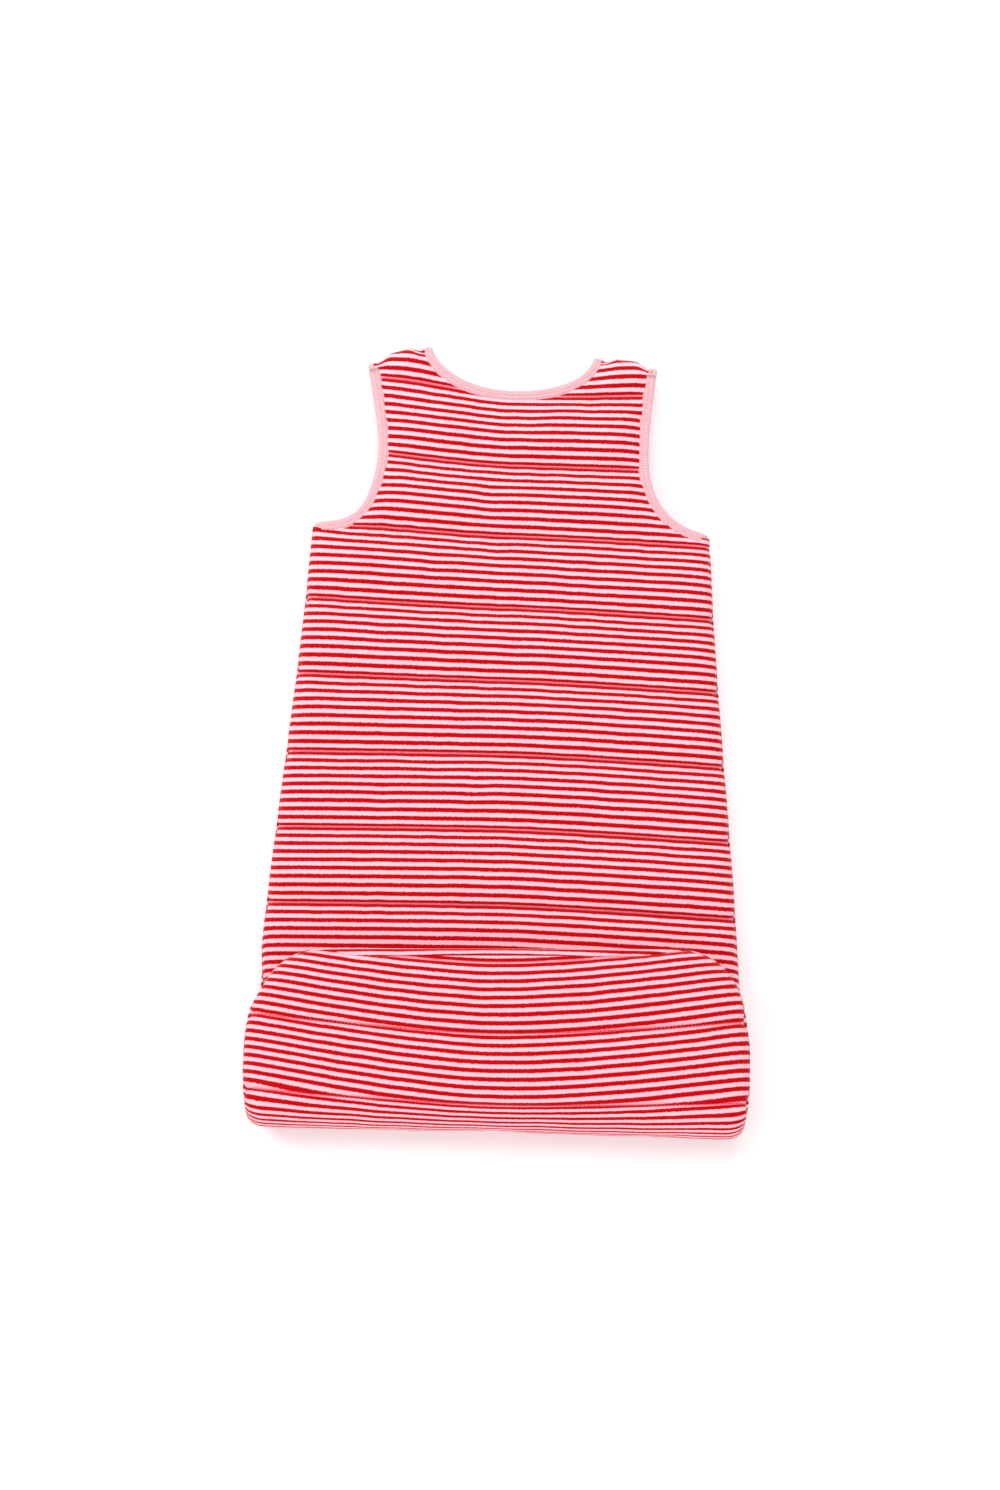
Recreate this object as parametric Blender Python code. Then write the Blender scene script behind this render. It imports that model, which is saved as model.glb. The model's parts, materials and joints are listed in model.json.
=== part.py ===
"""Baby sleeping bag, sleeveless and quilted, lying face down with its foot end folded up over the back.

The bag is two quilted panels, front and back, each a stack of outer cloth, wadding and lining. Seams join
them down the sides, over the shoulders and round the toe. A zip opens the front. All lengths are in metres,
X is across the bag, +Y points to the neck, and the bag lies on the plane Z = 0.
"""

import math

import bmesh
import bpy
from mathutils import Vector
from mathutils.geometry import interpolate_bezier

# Overall sizes of the folded bag
FOLDED_LENGTH = 0.604  # shoulder to the outside of the fold
FOOT_LENGTH = 0.102  # of the part that is folded up over the back
HEM_HALF_WIDTH = 0.178
CHEST_HALF_WIDTH = 0.152

# Neck, shoulders and armholes, measured to the outside of the binding
NECK_HALF_WIDTH = 0.063
BACK_NECK_DROP = 0.031
FRONT_NECK_DROP = 0.075
SHOULDER_HALF_WIDTH = 0.113
SHOULDER_SLOPE_DROP = 0.010
BACK_HALF_WIDTH = 0.104  # between the armholes, where the back is narrowest
BACK_WIDTH_DROP = 0.082  # from the shoulder to there
ARMHOLE_DROP = 0.144  # from the shoulder to the underarm
BINDING_RADIUS = 0.004
TOE_RADIUS = 0.050

# Layers, from the floor up
OUTER_CLOTH = 0.0012
FRONT_WADDING = 0.0048
BACK_WADDING = 0.0054
LINING = 0.0008
TAPE_THICKNESS = 0.0005
GUARD_THICKNESS = 0.0006
ROOM = 0.0060  # left between the front and the back of the empty bag
GAP = 0.0003  # between pieces that touch
FOLD_GAP = 0.0006  # between the back and the foot end that lies on it
FOLD_END_GAP = 0.0012  # between the panels' cut ends and the fold's own pieces

SEAM_ALLOWANCE = 0.008

# Zip
CHAIN_LENGTH = 0.420
CHAIN_HALF_GAP = 0.0008
COIL_WIDTH = 0.0016
COIL_HEIGHT = 0.0016
TAPE_WIDTH = 0.0150
TAPE_TAIL = 0.027  # below the bottom stop, where the slider's pull comes to rest
SLOT_HALF_WIDTH = 0.0095
GARAGE_LENGTH = 0.0110
STOP_LENGTH = 0.0030
SLIDER_LENGTH = 0.0090
SLIDER_HALF_WIDTH = 0.0048
SLIDER_PLATE = 0.0008
BRIDGE_HALF_WIDTH = 0.0007
BRIDGE_HALF_LENGTH = 0.0032
BRIDGE_THICKNESS = 0.0008
PULL_ROOM = 0.00075  # between the slider's plate and the pull that lies under it
PULL_PLAY = 0.00025  # between the pull's bar and the bridge that holds it
PULL_LENGTH = 0.0220
PULL_HALF_WIDTH = 0.0025
PULL_THICKNESS = 0.0009
PULL_EYE_LENGTH = 0.0042

# Labels, without print
NECK_LABEL_SIZE = (0.034, 0.018)
CARE_LABEL_SIZE = (0.030, 0.045)
LABEL_THICKNESS = 0.0005

CURVE_STEPS = 14  # points along each curved stretch of an outline
ARC_STEPS = 14

# Levels that follow from the layers
FRONT_SHELL_Z = (0.0, OUTER_CLOTH)
FRONT_WADDING_Z = (FRONT_SHELL_Z[1] + GAP, FRONT_SHELL_Z[1] + GAP + FRONT_WADDING)
TAPE_Z = (FRONT_WADDING_Z[1] + GAP, FRONT_WADDING_Z[1] + GAP + TAPE_THICKNESS)
FRONT_LINING_Z = (TAPE_Z[1] + GAP, TAPE_Z[1] + GAP + LINING)
GUARD_Z = (FRONT_LINING_Z[1] + GAP, FRONT_LINING_Z[1] + GAP + GUARD_THICKNESS)
BACK_LINING_Z = (GUARD_Z[1] + ROOM, GUARD_Z[1] + ROOM + LINING)
BACK_WADDING_Z = (BACK_LINING_Z[1] + GAP, BACK_LINING_Z[1] + GAP + BACK_WADDING)
BACK_SHELL_Z = (BACK_WADDING_Z[1] + GAP, BACK_WADDING_Z[1] + GAP + OUTER_CLOTH)
SEAM_Z = (FRONT_LINING_Z[1] + GAP, BACK_LINING_Z[0] - GAP)
COIL_Z = (TAPE_Z[0] - GAP - COIL_HEIGHT, TAPE_Z[0] - GAP)
FRONT_MIDDLE_Z = max((FRONT_SHELL_Z[0] + FRONT_LINING_Z[1]) / 2, BINDING_RADIUS)
BACK_MIDDLE_Z = (BACK_LINING_Z[0] + BACK_SHELL_Z[1]) / 2

# The fold: half rings about a line across the bag
FOLD_Z = BACK_SHELL_Z[1] + FOLD_GAP / 2
FOLD_RADIUS = FOLD_Z
SHOULDER_Y = FOLDED_LENGTH / 2
FOLD_Y = -FOLDED_LENGTH / 2 + FOLD_RADIUS
PANEL_END_Y = FOLD_Y + FOLD_END_GAP
# Each hinge turns a quarter of the outer cloth's half ring flat without stretching it.
HINGE_SHARE = math.pi / 4
HINGE_Y = FOLD_Y - HINGE_SHARE * FOLD_RADIUS
LOWER_HINGE_Z = FOLD_Z - HINGE_SHARE * FOLD_RADIUS
UPPER_HINGE_Z = FOLD_Z + HINGE_SHARE * FOLD_RADIUS

# Places along the zip
BINDING_WIDTH = 2 * BINDING_RADIUS
TAPE_TOP_Y = SHOULDER_Y - FRONT_NECK_DROP - BINDING_WIDTH - GAP
GARAGE_TOP_Y = TAPE_TOP_Y - GAP
STOP_TOP_Y = GARAGE_TOP_Y - GARAGE_LENGTH - GAP
CHAIN_TOP_Y = STOP_TOP_Y - STOP_LENGTH - GAP
CHAIN_BOTTOM_Y = CHAIN_TOP_Y - CHAIN_LENGTH
TAPE_BOTTOM_Y = CHAIN_BOTTOM_Y - TAPE_TAIL
SLOT_BOTTOM_Y = TAPE_BOTTOM_Y - 2 * GAP
SLIDER_Y = CHAIN_TOP_Y - GAP - SLIDER_LENGTH / 2
PULL_Z = COIL_Z[0] - GAP - SLIDER_PLATE - PULL_ROOM - PULL_THICKNESS / 2


def clear_scene():
    for obj in list(bpy.data.objects):
        bpy.data.objects.remove(obj, do_unlink=True)


def collection(name):
    made = bpy.data.collections.new(name)
    bpy.context.scene.collection.children.link(made)
    return made


def material(name, colour, roughness, metallic=0.0):
    made = bpy.data.materials.new(name)
    made.use_nodes = True
    shader = made.node_tree.nodes["Principled BSDF"]
    shader.inputs["Base Color"].default_value = (*colour, 1)
    shader.inputs["Roughness"].default_value = roughness
    shader.inputs["Metallic"].default_value = metallic
    return made


def pivot(name, place):
    made = bpy.data.objects.new(name, None)
    made.location = place
    PARTS.objects.link(made)
    return made


def place(obj, location, parent):
    """Puts obj at a world location, under parent if there is one."""
    obj.parent = parent
    obj.location = Vector(location) - (parent.location if parent else Vector())


# ---------------------------------------------------------------- outlines


def curve_points(*knots, steps=CURVE_STEPS):
    """Points along cubic stretches. Knots go point, handle, handle, point, handle, handle, point."""
    made = []
    for i in range(0, len(knots) - 1, 3):
        stretch = interpolate_bezier(*(Vector((*k, 0)) for k in knots[i : i + 4]), steps)
        made += stretch[1:] if made else stretch
    return [Vector((p.x, p.y)) for p in made]


def moved_aside(points, distance):
    """The line of points again, moved to its right by distance."""
    made = []
    for i, p in enumerate(points):
        along = points[min(i + 1, len(points) - 1)] - points[max(i - 1, 0)]
        made.append(p + Vector((along.y, -along.x)).normalized() * distance)
    return made


def mirrored(points):
    """Points on the +X side, followed by their mirror images in the opposite order."""
    return points + [Vector((-p.x, p.y)) for p in reversed(points)]


def walked(points, distance):
    """The place at a distance along a line of points."""
    for start, end in zip(points, points[1:]):
        length = (end - start).length
        if distance <= length:
            return start.lerp(end, distance / length)
        distance -= length
    return points[-1].copy()


def trimmed(points, from_start, from_end=0.0):
    """The line of points without a length at its start and a length at its end."""
    lengths = [0.0]
    for start, end in zip(points, points[1:]):
        lengths.append(lengths[-1] + (end - start).length)
    last = lengths[-1] - from_end
    middle = [p for p, along in zip(points, lengths) if from_start < along < last]
    return [walked(points, from_start)] + middle + [walked(points, last)]


def beyond_x(points, x):
    """The part of a line of points that lies beyond x, as the line goes outwards."""
    for i, (start, end) in enumerate(zip(points, points[1:])):
        if end.x > x:
            share = max(0.0, (x - start.x) / (end.x - start.x))
            return [start.lerp(end, share)] + points[i + 1 :]
    return []


def shoulder_y(x):
    share = (x - NECK_HALF_WIDTH) / (SHOULDER_HALF_WIDTH - NECK_HALF_WIDTH)
    return SHOULDER_Y - SHOULDER_SLOPE_DROP * share


def neck_edge(drop):
    """The outside of the binding, from the centre to the shoulder."""
    low, high = SHOULDER_Y - drop, SHOULDER_Y
    return curve_points(
        (0, low),
        (0.58 * NECK_HALF_WIDTH, low),
        (NECK_HALF_WIDTH, high - 0.55 * drop),
        (NECK_HALF_WIDTH, high),
    )


def armhole_edge():
    """The outside of the binding, from the shoulder to the underarm."""
    top = shoulder_y(SHOULDER_HALF_WIDTH)
    narrow = SHOULDER_Y - BACK_WIDTH_DROP
    low = SHOULDER_Y - ARMHOLE_DROP
    return curve_points(
        (SHOULDER_HALF_WIDTH, top),
        (SHOULDER_HALF_WIDTH - 0.004, top - 0.3 * (top - narrow)),
        (BACK_HALF_WIDTH, narrow + 0.3 * (top - narrow)),
        (BACK_HALF_WIDTH, narrow),
        (BACK_HALF_WIDTH, narrow - 0.55 * (narrow - low)),
        (BACK_HALF_WIDTH + 0.35 * (CHEST_HALF_WIDTH - BACK_HALF_WIDTH), low + 0.003),
        (CHEST_HALF_WIDTH, low),
    )


def side_edge():
    """From the underarm, below the binding, to the fold."""
    top = SHOULDER_Y - ARMHOLE_DROP - BINDING_WIDTH - GAP
    flare = HEM_HALF_WIDTH - CHEST_HALF_WIDTH
    length = top - PANEL_END_Y
    return curve_points(
        (CHEST_HALF_WIDTH, top),
        (CHEST_HALF_WIDTH + 0.17 * flare, top - 0.32 * length),
        (HEM_HALF_WIDTH, PANEL_END_Y + 0.32 * length),
        (HEM_HALF_WIDTH, PANEL_END_Y),
    )


def cloth_neck(drop):
    """The panel's own edge inside the neck binding."""
    return moved_aside(neck_edge(drop), BINDING_WIDTH + GAP)


def cloth_shoulder():
    """The seamed ends of a panel between its neck and its armhole."""
    inner = NECK_HALF_WIDTH + BINDING_WIDTH + GAP
    outer = SHOULDER_HALF_WIDTH - BINDING_WIDTH - GAP
    return [Vector((x, shoulder_y(x))) for x in (inner, outer)]


def cloth_armhole():
    """The panel's own edge inside the armhole binding."""
    line = moved_aside(armhole_edge(), BINDING_WIDTH + GAP)
    outer = cloth_shoulder()[1]
    return [outer] + [p for p in line if p.y < outer.y]


def panel_edge(neck):
    """From the neck round the shoulder, the armhole and the side to the fold."""
    inner = cloth_shoulder()[0]
    neck = [p for p in neck if p.y < inner.y]
    return neck + [inner] + cloth_armhole()[:-1] + side_edge()


def back_outline():
    return mirrored(panel_edge(cloth_neck(BACK_NECK_DROP)))[:-1]


def front_outline():
    """The front panel is slit for the zip from the neck down."""
    neck = beyond_x(cloth_neck(FRONT_NECK_DROP), SLOT_HALF_WIDTH)
    return mirrored([Vector((SLOT_HALF_WIDTH, SLOT_BOTTOM_Y))] + panel_edge(neck))


def arc(centre, radius, start, end, steps=ARC_STEPS):
    """Points on an arc, with start and end in degrees."""
    turns = [math.radians(start + (end - start) * i / steps) for i in range(steps + 1)]
    return [Vector(centre) + radius * Vector((math.cos(t), math.sin(t))) for t in turns]


def foot_outline(inset=0.0):
    """The folded-up end seen from above: straight sides and a toe with round corners."""
    end = PANEL_END_Y + FOOT_LENGTH
    radius = TOE_RADIUS - inset
    corner = (HEM_HALF_WIDTH - TOE_RADIUS, end - TOE_RADIUS)
    half = [Vector((HEM_HALF_WIDTH - inset, PANEL_END_Y))] + arc(corner, radius, 0, 90)
    return mirrored(half)


def half_ring(low, high, steps=ARC_STEPS):
    """The fold's cross-section for a layer that lies between two levels in the body, as (y, z)."""
    centre = (FOLD_Y, FOLD_Z)
    outer = arc(centre, FOLD_Z - low, 270, 90, steps)
    inner = arc(centre, FOLD_Z - high, 90, 270, steps)
    return outer + inner


def rectangle(x_low, x_high, y_low, y_high):
    return [Vector(p) for p in ((x_low, y_low), (x_high, y_low), (x_high, y_high), (x_low, y_high))]


def strip_along(points, width):
    """A strip to the right of a line of points."""
    return points + list(reversed(moved_aside(points, width)))


# ---------------------------------------------------------------- solids


def flat_piece(name, outlines, levels, finish, parent=None, upright=False, at=(0, 0)):
    """An outline, or an outline with holes, extruded between two levels.

    It lies flat unless upright is set: then the outline is in Y and Z, and the levels are along X.
    """
    if isinstance(outlines[0], Vector):
        outlines = [outlines]
    data = bpy.data.curves.new(name, "CURVE")
    data.dimensions = "2D"
    data.fill_mode = "BOTH"
    data.extrude = (levels[1] - levels[0]) / 2
    for outline in outlines:
        spline = data.splines.new("POLY")
        spline.points.add(len(outline) - 1)
        for point, (x, y) in zip(spline.points, outline):
            point.co = (x - at[0], y - at[1], 0, 1)
        spline.use_cyclic_u = True
    data.materials.append(finish)
    made = bpy.data.objects.new(name, data)
    PARTS.objects.link(made)
    middle = (levels[0] + levels[1]) / 2
    if upright:
        made.rotation_euler = (math.pi / 2, 0, math.pi / 2)
        place(made, (middle, *at), parent)
    else:
        place(made, (*at, middle), parent)
    return made


def as_mesh(obj):
    """Turns a curve object into a mesh object with its caps welded on."""
    bpy.context.view_layer.update()
    graph = bpy.context.evaluated_depsgraph_get()
    data = bpy.data.meshes.new_from_object(obj.evaluated_get(graph))
    welded = bmesh.new()
    welded.from_mesh(data)
    bmesh.ops.remove_doubles(welded, verts=welded.verts, dist=1e-6)
    bmesh.ops.recalc_face_normals(welded, faces=welded.faces)
    welded.to_mesh(data)
    welded.free()
    name, matrix, parent = obj.name, obj.matrix_world.copy(), obj.parent
    bpy.data.objects.remove(obj)
    made = bpy.data.objects.new(name, data)
    PARTS.objects.link(made)
    made.parent = parent
    made.matrix_world = matrix
    return made


def joined(first, *others):
    """The first piece with the others joined to it by Boolean unions."""
    base = as_mesh(first)
    for other in others:
        helper = as_mesh(other)
        PARTS.objects.unlink(helper)
        HELPERS.objects.link(helper)
        helper.hide_render = True
        helper.display_type = "WIRE"
        join = base.modifiers.new("join_" + helper.name, "BOOLEAN")
        join.operation = "UNION"
        join.object = helper
    return base


def cord_piece(name, points, radius, finish, closed):
    """A round-section tube along a line of points."""
    data = bpy.data.curves.new(name, "CURVE")
    data.dimensions = "3D"
    data.bevel_depth = radius
    data.bevel_resolution = 2
    data.use_fill_caps = not closed
    spline = data.splines.new("POLY")
    spline.points.add(len(points) - 1)
    for point, co in zip(spline.points, points):
        point.co = (*co, 1)
    spline.use_cyclic_u = closed
    data.materials.append(finish)
    made = bpy.data.objects.new(name, data)
    PARTS.objects.link(made)
    return made


# ---------------------------------------------------------------- the bag's pieces


def make_panels(striped, filling, lining):
    """The back and the front of the bag above the fold, each in three layers."""
    back, front = back_outline(), front_outline()
    flat_piece("back_shell", back, BACK_SHELL_Z, striped)
    flat_piece("back_wadding", back, BACK_WADDING_Z, filling)
    flat_piece("back_lining", back, BACK_LINING_Z, lining)
    flat_piece("front_shell", front, FRONT_SHELL_Z, striped)
    flat_piece("front_wadding", front, FRONT_WADDING_Z, filling)
    flat_piece("front_lining", front, FRONT_LINING_Z, lining)


def make_seams(lining):
    """The sewn allowances that hold the front to the back, inside the bag."""
    side = strip_along(side_edge(), SEAM_ALLOWANCE)
    inner, outer = cloth_shoulder()
    below = walked(cloth_armhole(), SEAM_ALLOWANCE)
    shoulder = [outer, inner, inner - Vector((0, SEAM_ALLOWANCE)), below]
    for name, sign in (("right", 1), ("left", -1)):
        for kind, outline in (("side", side), ("shoulder", shoulder)):
            turned = [Vector((sign * p.x, p.y)) for p in outline]
            flat_piece(f"{kind}_seam_{name}", turned, SEAM_Z, lining)


def turned_over(upper, lower, steps=8):
    """Points of a half turn at the last point of two edges, from one on the back to one on the front.

    Each edge is a line of points that ends where the other does.
    """
    top, bottom = BACK_MIDDLE_Z, FRONT_MIDDLE_Z
    reach, middle = (top - bottom) / 2, (top + bottom) / 2
    made = []
    for i in range(steps + 1):
        turn = math.pi * i / steps
        edge = upper if turn <= math.pi / 2 else lower
        at = walked(list(reversed(edge)), reach * (1 - math.sin(turn)))
        made.append((at.x, at.y, middle + reach * math.cos(turn)))
    return made


def flat_run(edge, from_start, level):
    """The points of an edge up to where its turn begins, at a level."""
    reach = (BACK_MIDDLE_Z - FRONT_MIDDLE_Z) / 2
    return [(p.x, p.y, level) for p in trimmed(edge, from_start, reach)]


def make_neck_binding(rib):
    """One strip from the zip over a shoulder, round the back of the neck and down to the zip again."""
    back = trimmed(moved_aside(neck_edge(BACK_NECK_DROP), BINDING_RADIUS), 0, BINDING_RADIUS)
    front = trimmed(moved_aside(neck_edge(FRONT_NECK_DROP), BINDING_RADIUS), 0, BINDING_RADIUS)
    half = flat_run(back, 0, BACK_MIDDLE_Z)[1:-1]
    half += turned_over(back, front)
    half += list(reversed(flat_run(beyond_x(front, CHAIN_HALF_GAP), 0, FRONT_MIDDLE_Z)))[1:]
    left = [(-x, y, z) for x, y, z in reversed(half)]
    centre = (0, SHOULDER_Y - BACK_NECK_DROP - BINDING_RADIUS, BACK_MIDDLE_Z)
    cord_piece("neck_binding", left + [centre] + half, BINDING_RADIUS, rib, closed=False)


def make_armhole_bindings(rib):
    """A closed strip round each armhole: down the back edge, under the arm and up the front edge."""
    edge = moved_aside(armhole_edge(), BINDING_RADIUS)
    edge = trimmed(edge, BINDING_RADIUS, BINDING_RADIUS)
    other_way = list(reversed(edge))
    reach = (BACK_MIDDLE_Z - FRONT_MIDDLE_Z) / 2
    loop = flat_run(edge, reach, BACK_MIDDLE_Z)[1:-1]
    loop += turned_over(edge, edge)
    loop += flat_run(other_way, reach, FRONT_MIDDLE_Z)[1:-1]
    loop += reversed(turned_over(other_way, other_way))
    for name, sign in (("right", 1), ("left", -1)):
        points = [(sign * x, y, z) for x, y, z in loop]
        cord_piece(f"armhole_binding_{name}", points, BINDING_RADIUS, rib, closed=True)


def make_zip(tape, coil, metal, striped, lining):
    """Tapes, coils and stops, the flap over the zip's top end and the guard behind it."""
    inner, outer = CHAIN_HALF_GAP, CHAIN_HALF_GAP + TAPE_WIDTH
    edge = CHAIN_HALF_GAP + COIL_WIDTH
    for name, sign in (("right", 1), ("left", -1)):

        def strip(x_low, x_high, y_low, y_high, sign=sign):
            return rectangle(*sorted((sign * x_low, sign * x_high)), y_low, y_high)

        flat_piece(f"zip_tape_{name}", strip(inner, outer, TAPE_BOTTOM_Y, TAPE_TOP_Y), TAPE_Z, tape)
        chain = strip(inner, edge, CHAIN_BOTTOM_Y, CHAIN_TOP_Y)
        flat_piece(f"zip_coil_{name}", chain, COIL_Z, coil)
        stop = strip(inner, edge, STOP_TOP_Y - STOP_LENGTH, STOP_TOP_Y)
        flat_piece(f"zip_top_stop_{name}", stop, COIL_Z, metal)
    stop_top = CHAIN_BOTTOM_Y - GAP
    stop = rectangle(-edge, edge, stop_top - STOP_LENGTH, stop_top)
    flat_piece("zip_bottom_stop", stop, COIL_Z, metal)
    half_width = SLOT_HALF_WIDTH - 2 * GAP
    garage = rectangle(-half_width, half_width, GARAGE_TOP_Y - GARAGE_LENGTH, GARAGE_TOP_Y)
    flat_piece("zip_garage", garage, (FRONT_WADDING_Z[0], COIL_Z[1]), striped)
    guard = rectangle(-outer, outer, TAPE_BOTTOM_Y, TAPE_TOP_Y)
    flat_piece("zip_guard", guard, GUARD_Z, lining)


def make_slider(metal):
    """Two plates round the coils, the divider between them, side flanges and a bridge for the pull."""
    origin = pivot("zip_slider_origin", (0, SLIDER_Y, COIL_Z[0]))
    end = SLIDER_LENGTH / 2
    nose = SLIDER_HALF_WIDTH - 0.001
    shield = [(nose, -end), (SLIDER_HALF_WIDTH, 0), (SLIDER_HALF_WIDTH, end)]
    outline = [Vector((x, SLIDER_Y + y)) for x, y in shield]
    outline = mirrored(outline)
    outer_z = (COIL_Z[0] - GAP - SLIDER_PLATE, COIL_Z[0] - GAP)
    inner_z = (TAPE_Z[1] + GAP, TAPE_Z[1] + GAP + SLIDER_PLATE)
    plate = flat_piece("zip_slider", outline, outer_z, metal, origin)
    behind = flat_piece("slider_inner_plate", outline, inner_z, metal, origin)
    half = CHAIN_HALF_GAP - GAP
    divider_y = (SLIDER_Y + 0.4 * end, SLIDER_Y + end)
    divider_z = (outer_z[1] - GAP, inner_z[0] + GAP)
    divider = rectangle(-half, half, *divider_y)
    others = [behind, flat_piece("slider_divider", divider, divider_z, metal, origin)]
    flange_z = (outer_z[1] - GAP, COIL_Z[1])
    for sign in (1, -1):
        span = sorted((sign * SLIDER_HALF_WIDTH, sign * (SLIDER_HALF_WIDTH - SLIDER_PLATE)))
        flange = rectangle(*span, SLIDER_Y, SLIDER_Y + end)
        others.append(flat_piece(f"slider_flange_{sign}", flange, flange_z, metal, origin))
    top = outer_z[0] + GAP
    low = PULL_Z - PULL_THICKNESS / 2 - PULL_PLAY - BRIDGE_THICKNESS
    reach, chamfer = BRIDGE_HALF_LENGTH, BRIDGE_THICKNESS
    outside = [(reach, top), (reach, low + chamfer), (reach - chamfer, low)]
    inside = [
        (reach - BRIDGE_THICKNESS, top),
        (reach - BRIDGE_THICKNESS, low + 1.6 * chamfer),
        (reach - 1.6 * chamfer, low + BRIDGE_THICKNESS),
    ]
    bridge = outside + [(-y, z) for y, z in reversed(outside)]
    bridge += [(-y, z) for y, z in inside] + list(reversed(inside))
    bridge = [Vector((SLIDER_Y + y, z)) for y, z in bridge]
    levels = (-BRIDGE_HALF_WIDTH, BRIDGE_HALF_WIDTH)
    others.append(flat_piece("slider_bridge", bridge, levels, metal, origin, upright=True))
    joined(plate, *others)


def make_pull(metal):
    """The pull hangs from the bridge by its eye, and its origin is the bar that turns under the bridge."""
    origin = pivot("zip_pull_axis", (0, SLIDER_Y, PULL_Z))
    half_bar = PULL_THICKNESS / 2
    tip = SLIDER_Y - PULL_LENGTH
    corner = (PULL_HALF_WIDTH - 0.0015, tip + 0.0015)
    top = Vector((PULL_HALF_WIDTH, SLIDER_Y + half_bar))
    outline = mirrored([top] + arc(corner, 0.0015, 0, -90, 4))
    eye_half = BRIDGE_HALF_WIDTH + 0.0005
    eye = rectangle(-eye_half, eye_half, SLIDER_Y - PULL_EYE_LENGTH, SLIDER_Y - half_bar)
    levels = (PULL_Z - half_bar, PULL_Z + half_bar)
    flat_piece("zip_pull_tab", [outline, eye], levels, metal, origin)


def make_labels(woven):
    """A size label under the back of the neck and a care label in a side seam, both blank."""
    width, height = NECK_LABEL_SIZE
    top = SHOULDER_Y - BACK_NECK_DROP - BINDING_WIDTH - 2 * GAP
    z_high = BACK_LINING_Z[0] - GAP
    levels = (z_high - LABEL_THICKNESS, z_high)
    flat_piece("neck_label", rectangle(-width / 2, width / 2, top - height, top), levels, woven)
    width, height = CARE_LABEL_SIZE
    seam = [p.x for p in moved_aside(side_edge(), SEAM_ALLOWANCE) if abs(p.y) < height]
    outside = 2 * GAP - min(seam)
    z_low = FRONT_LINING_Z[1] + GAP
    levels = (z_low, z_low + LABEL_THICKNESS)
    label = rectangle(outside, outside + width, -height / 2, height / 2)
    flat_piece("care_label", label, levels, woven)


def make_fold(striped, filling, lining):
    """The stretch of both panels that bends round the fold, as half rings across the bag."""
    hinge = pivot("lower_fold_axis", (0, HINGE_Y, LOWER_HINGE_Z))
    layers = {
        "fold_front_shell": (FRONT_SHELL_Z, striped),
        "fold_front_wadding": (FRONT_WADDING_Z, filling),
        "fold_front_lining": (FRONT_LINING_Z, lining),
        "fold_back_lining": (BACK_LINING_Z, lining),
        "fold_back_wadding": (BACK_WADDING_Z, filling),
        "fold_back_shell": (BACK_SHELL_Z, striped),
    }
    across = (-HEM_HALF_WIDTH, HEM_HALF_WIDTH)
    for name, (levels, finish) in layers.items():
        flat_piece(name, half_ring(*levels), across, finish, hinge, upright=True)
    inside = HEM_HALF_WIDTH - SEAM_ALLOWANCE
    for name, span in (("right", (inside, HEM_HALF_WIDTH)), ("left", (-HEM_HALF_WIDTH, -inside))):
        flat_piece(f"fold_seam_{name}", half_ring(*SEAM_Z), span, lining, hinge, upright=True)


def make_foot(striped, filling, lining):
    """The foot end, turned over, so its layers lie in the opposite order."""
    hinge = pivot("upper_fold_axis", (0, HINGE_Y, UPPER_HINGE_Z))
    layers = {
        "foot_back_shell": (BACK_SHELL_Z, striped),
        "foot_back_wadding": (BACK_WADDING_Z, filling),
        "foot_back_lining": (BACK_LINING_Z, lining),
        "foot_front_lining": (FRONT_LINING_Z, lining),
        "foot_front_wadding": (FRONT_WADDING_Z, filling),
        "foot_front_shell": (FRONT_SHELL_Z, striped),
    }
    outline = foot_outline()
    for name, levels_finish in layers.items():
        levels, finish = levels_finish
        turned = (2 * FOLD_Z - levels[1], 2 * FOLD_Z - levels[0])
        flat_piece(name, outline, turned, finish, hinge)
    turned = (2 * FOLD_Z - SEAM_Z[1], 2 * FOLD_Z - SEAM_Z[0])
    seam = outline + list(reversed(foot_outline(SEAM_ALLOWANCE)))
    flat_piece("toe_seam", seam, turned, lining, hinge)


def main():
    striped = material("striped_velour", (0.83, 0.22, 0.27), 0.9)
    rib = material("rib_binding", (0.95, 0.68, 0.74), 0.85)
    filling = material("polyester_wadding", (0.93, 0.93, 0.92), 0.95)
    lining = material("jersey_lining", (0.95, 0.80, 0.84), 0.9)
    tape = material("zip_tape", (0.93, 0.62, 0.68), 0.8)
    coil = material("zip_coil", (0.90, 0.55, 0.62), 0.45)
    metal = material("zip_metal", (0.78, 0.78, 0.80), 0.3, 1.0)
    woven = material("woven_label", (0.96, 0.95, 0.93), 0.7)
    make_panels(striped, filling, lining)
    make_seams(lining)
    make_neck_binding(rib)
    make_armhole_bindings(rib)
    make_zip(tape, coil, metal, striped, lining)
    make_slider(metal)
    make_pull(metal)
    make_labels(woven)
    make_fold(striped, filling, lining)
    make_foot(striped, filling, lining)


clear_scene()
PARTS = collection("baby_sleeping_bag")
HELPERS = collection("helpers")
main()
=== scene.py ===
"""Looks of a baby sleeping bag of quilted striped velour, lying face down with its foot end folded up.

Lengths are in metres. X is across the bag, +Y points to the neck and the bag lies on Z = 0. A panel's cloth is
laid out by x and by s, the place along the opened bag: s is y down to the fold, and goes on falling round it.
A layer's depth is its distance from the face that lies on the floor.
"""

import functools
import json
import math

import bmesh
import bpy
import numpy as np
from mathutils import Matrix, Vector
from mathutils.geometry import delaunay_2d_cdt, interpolate_bezier

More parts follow.
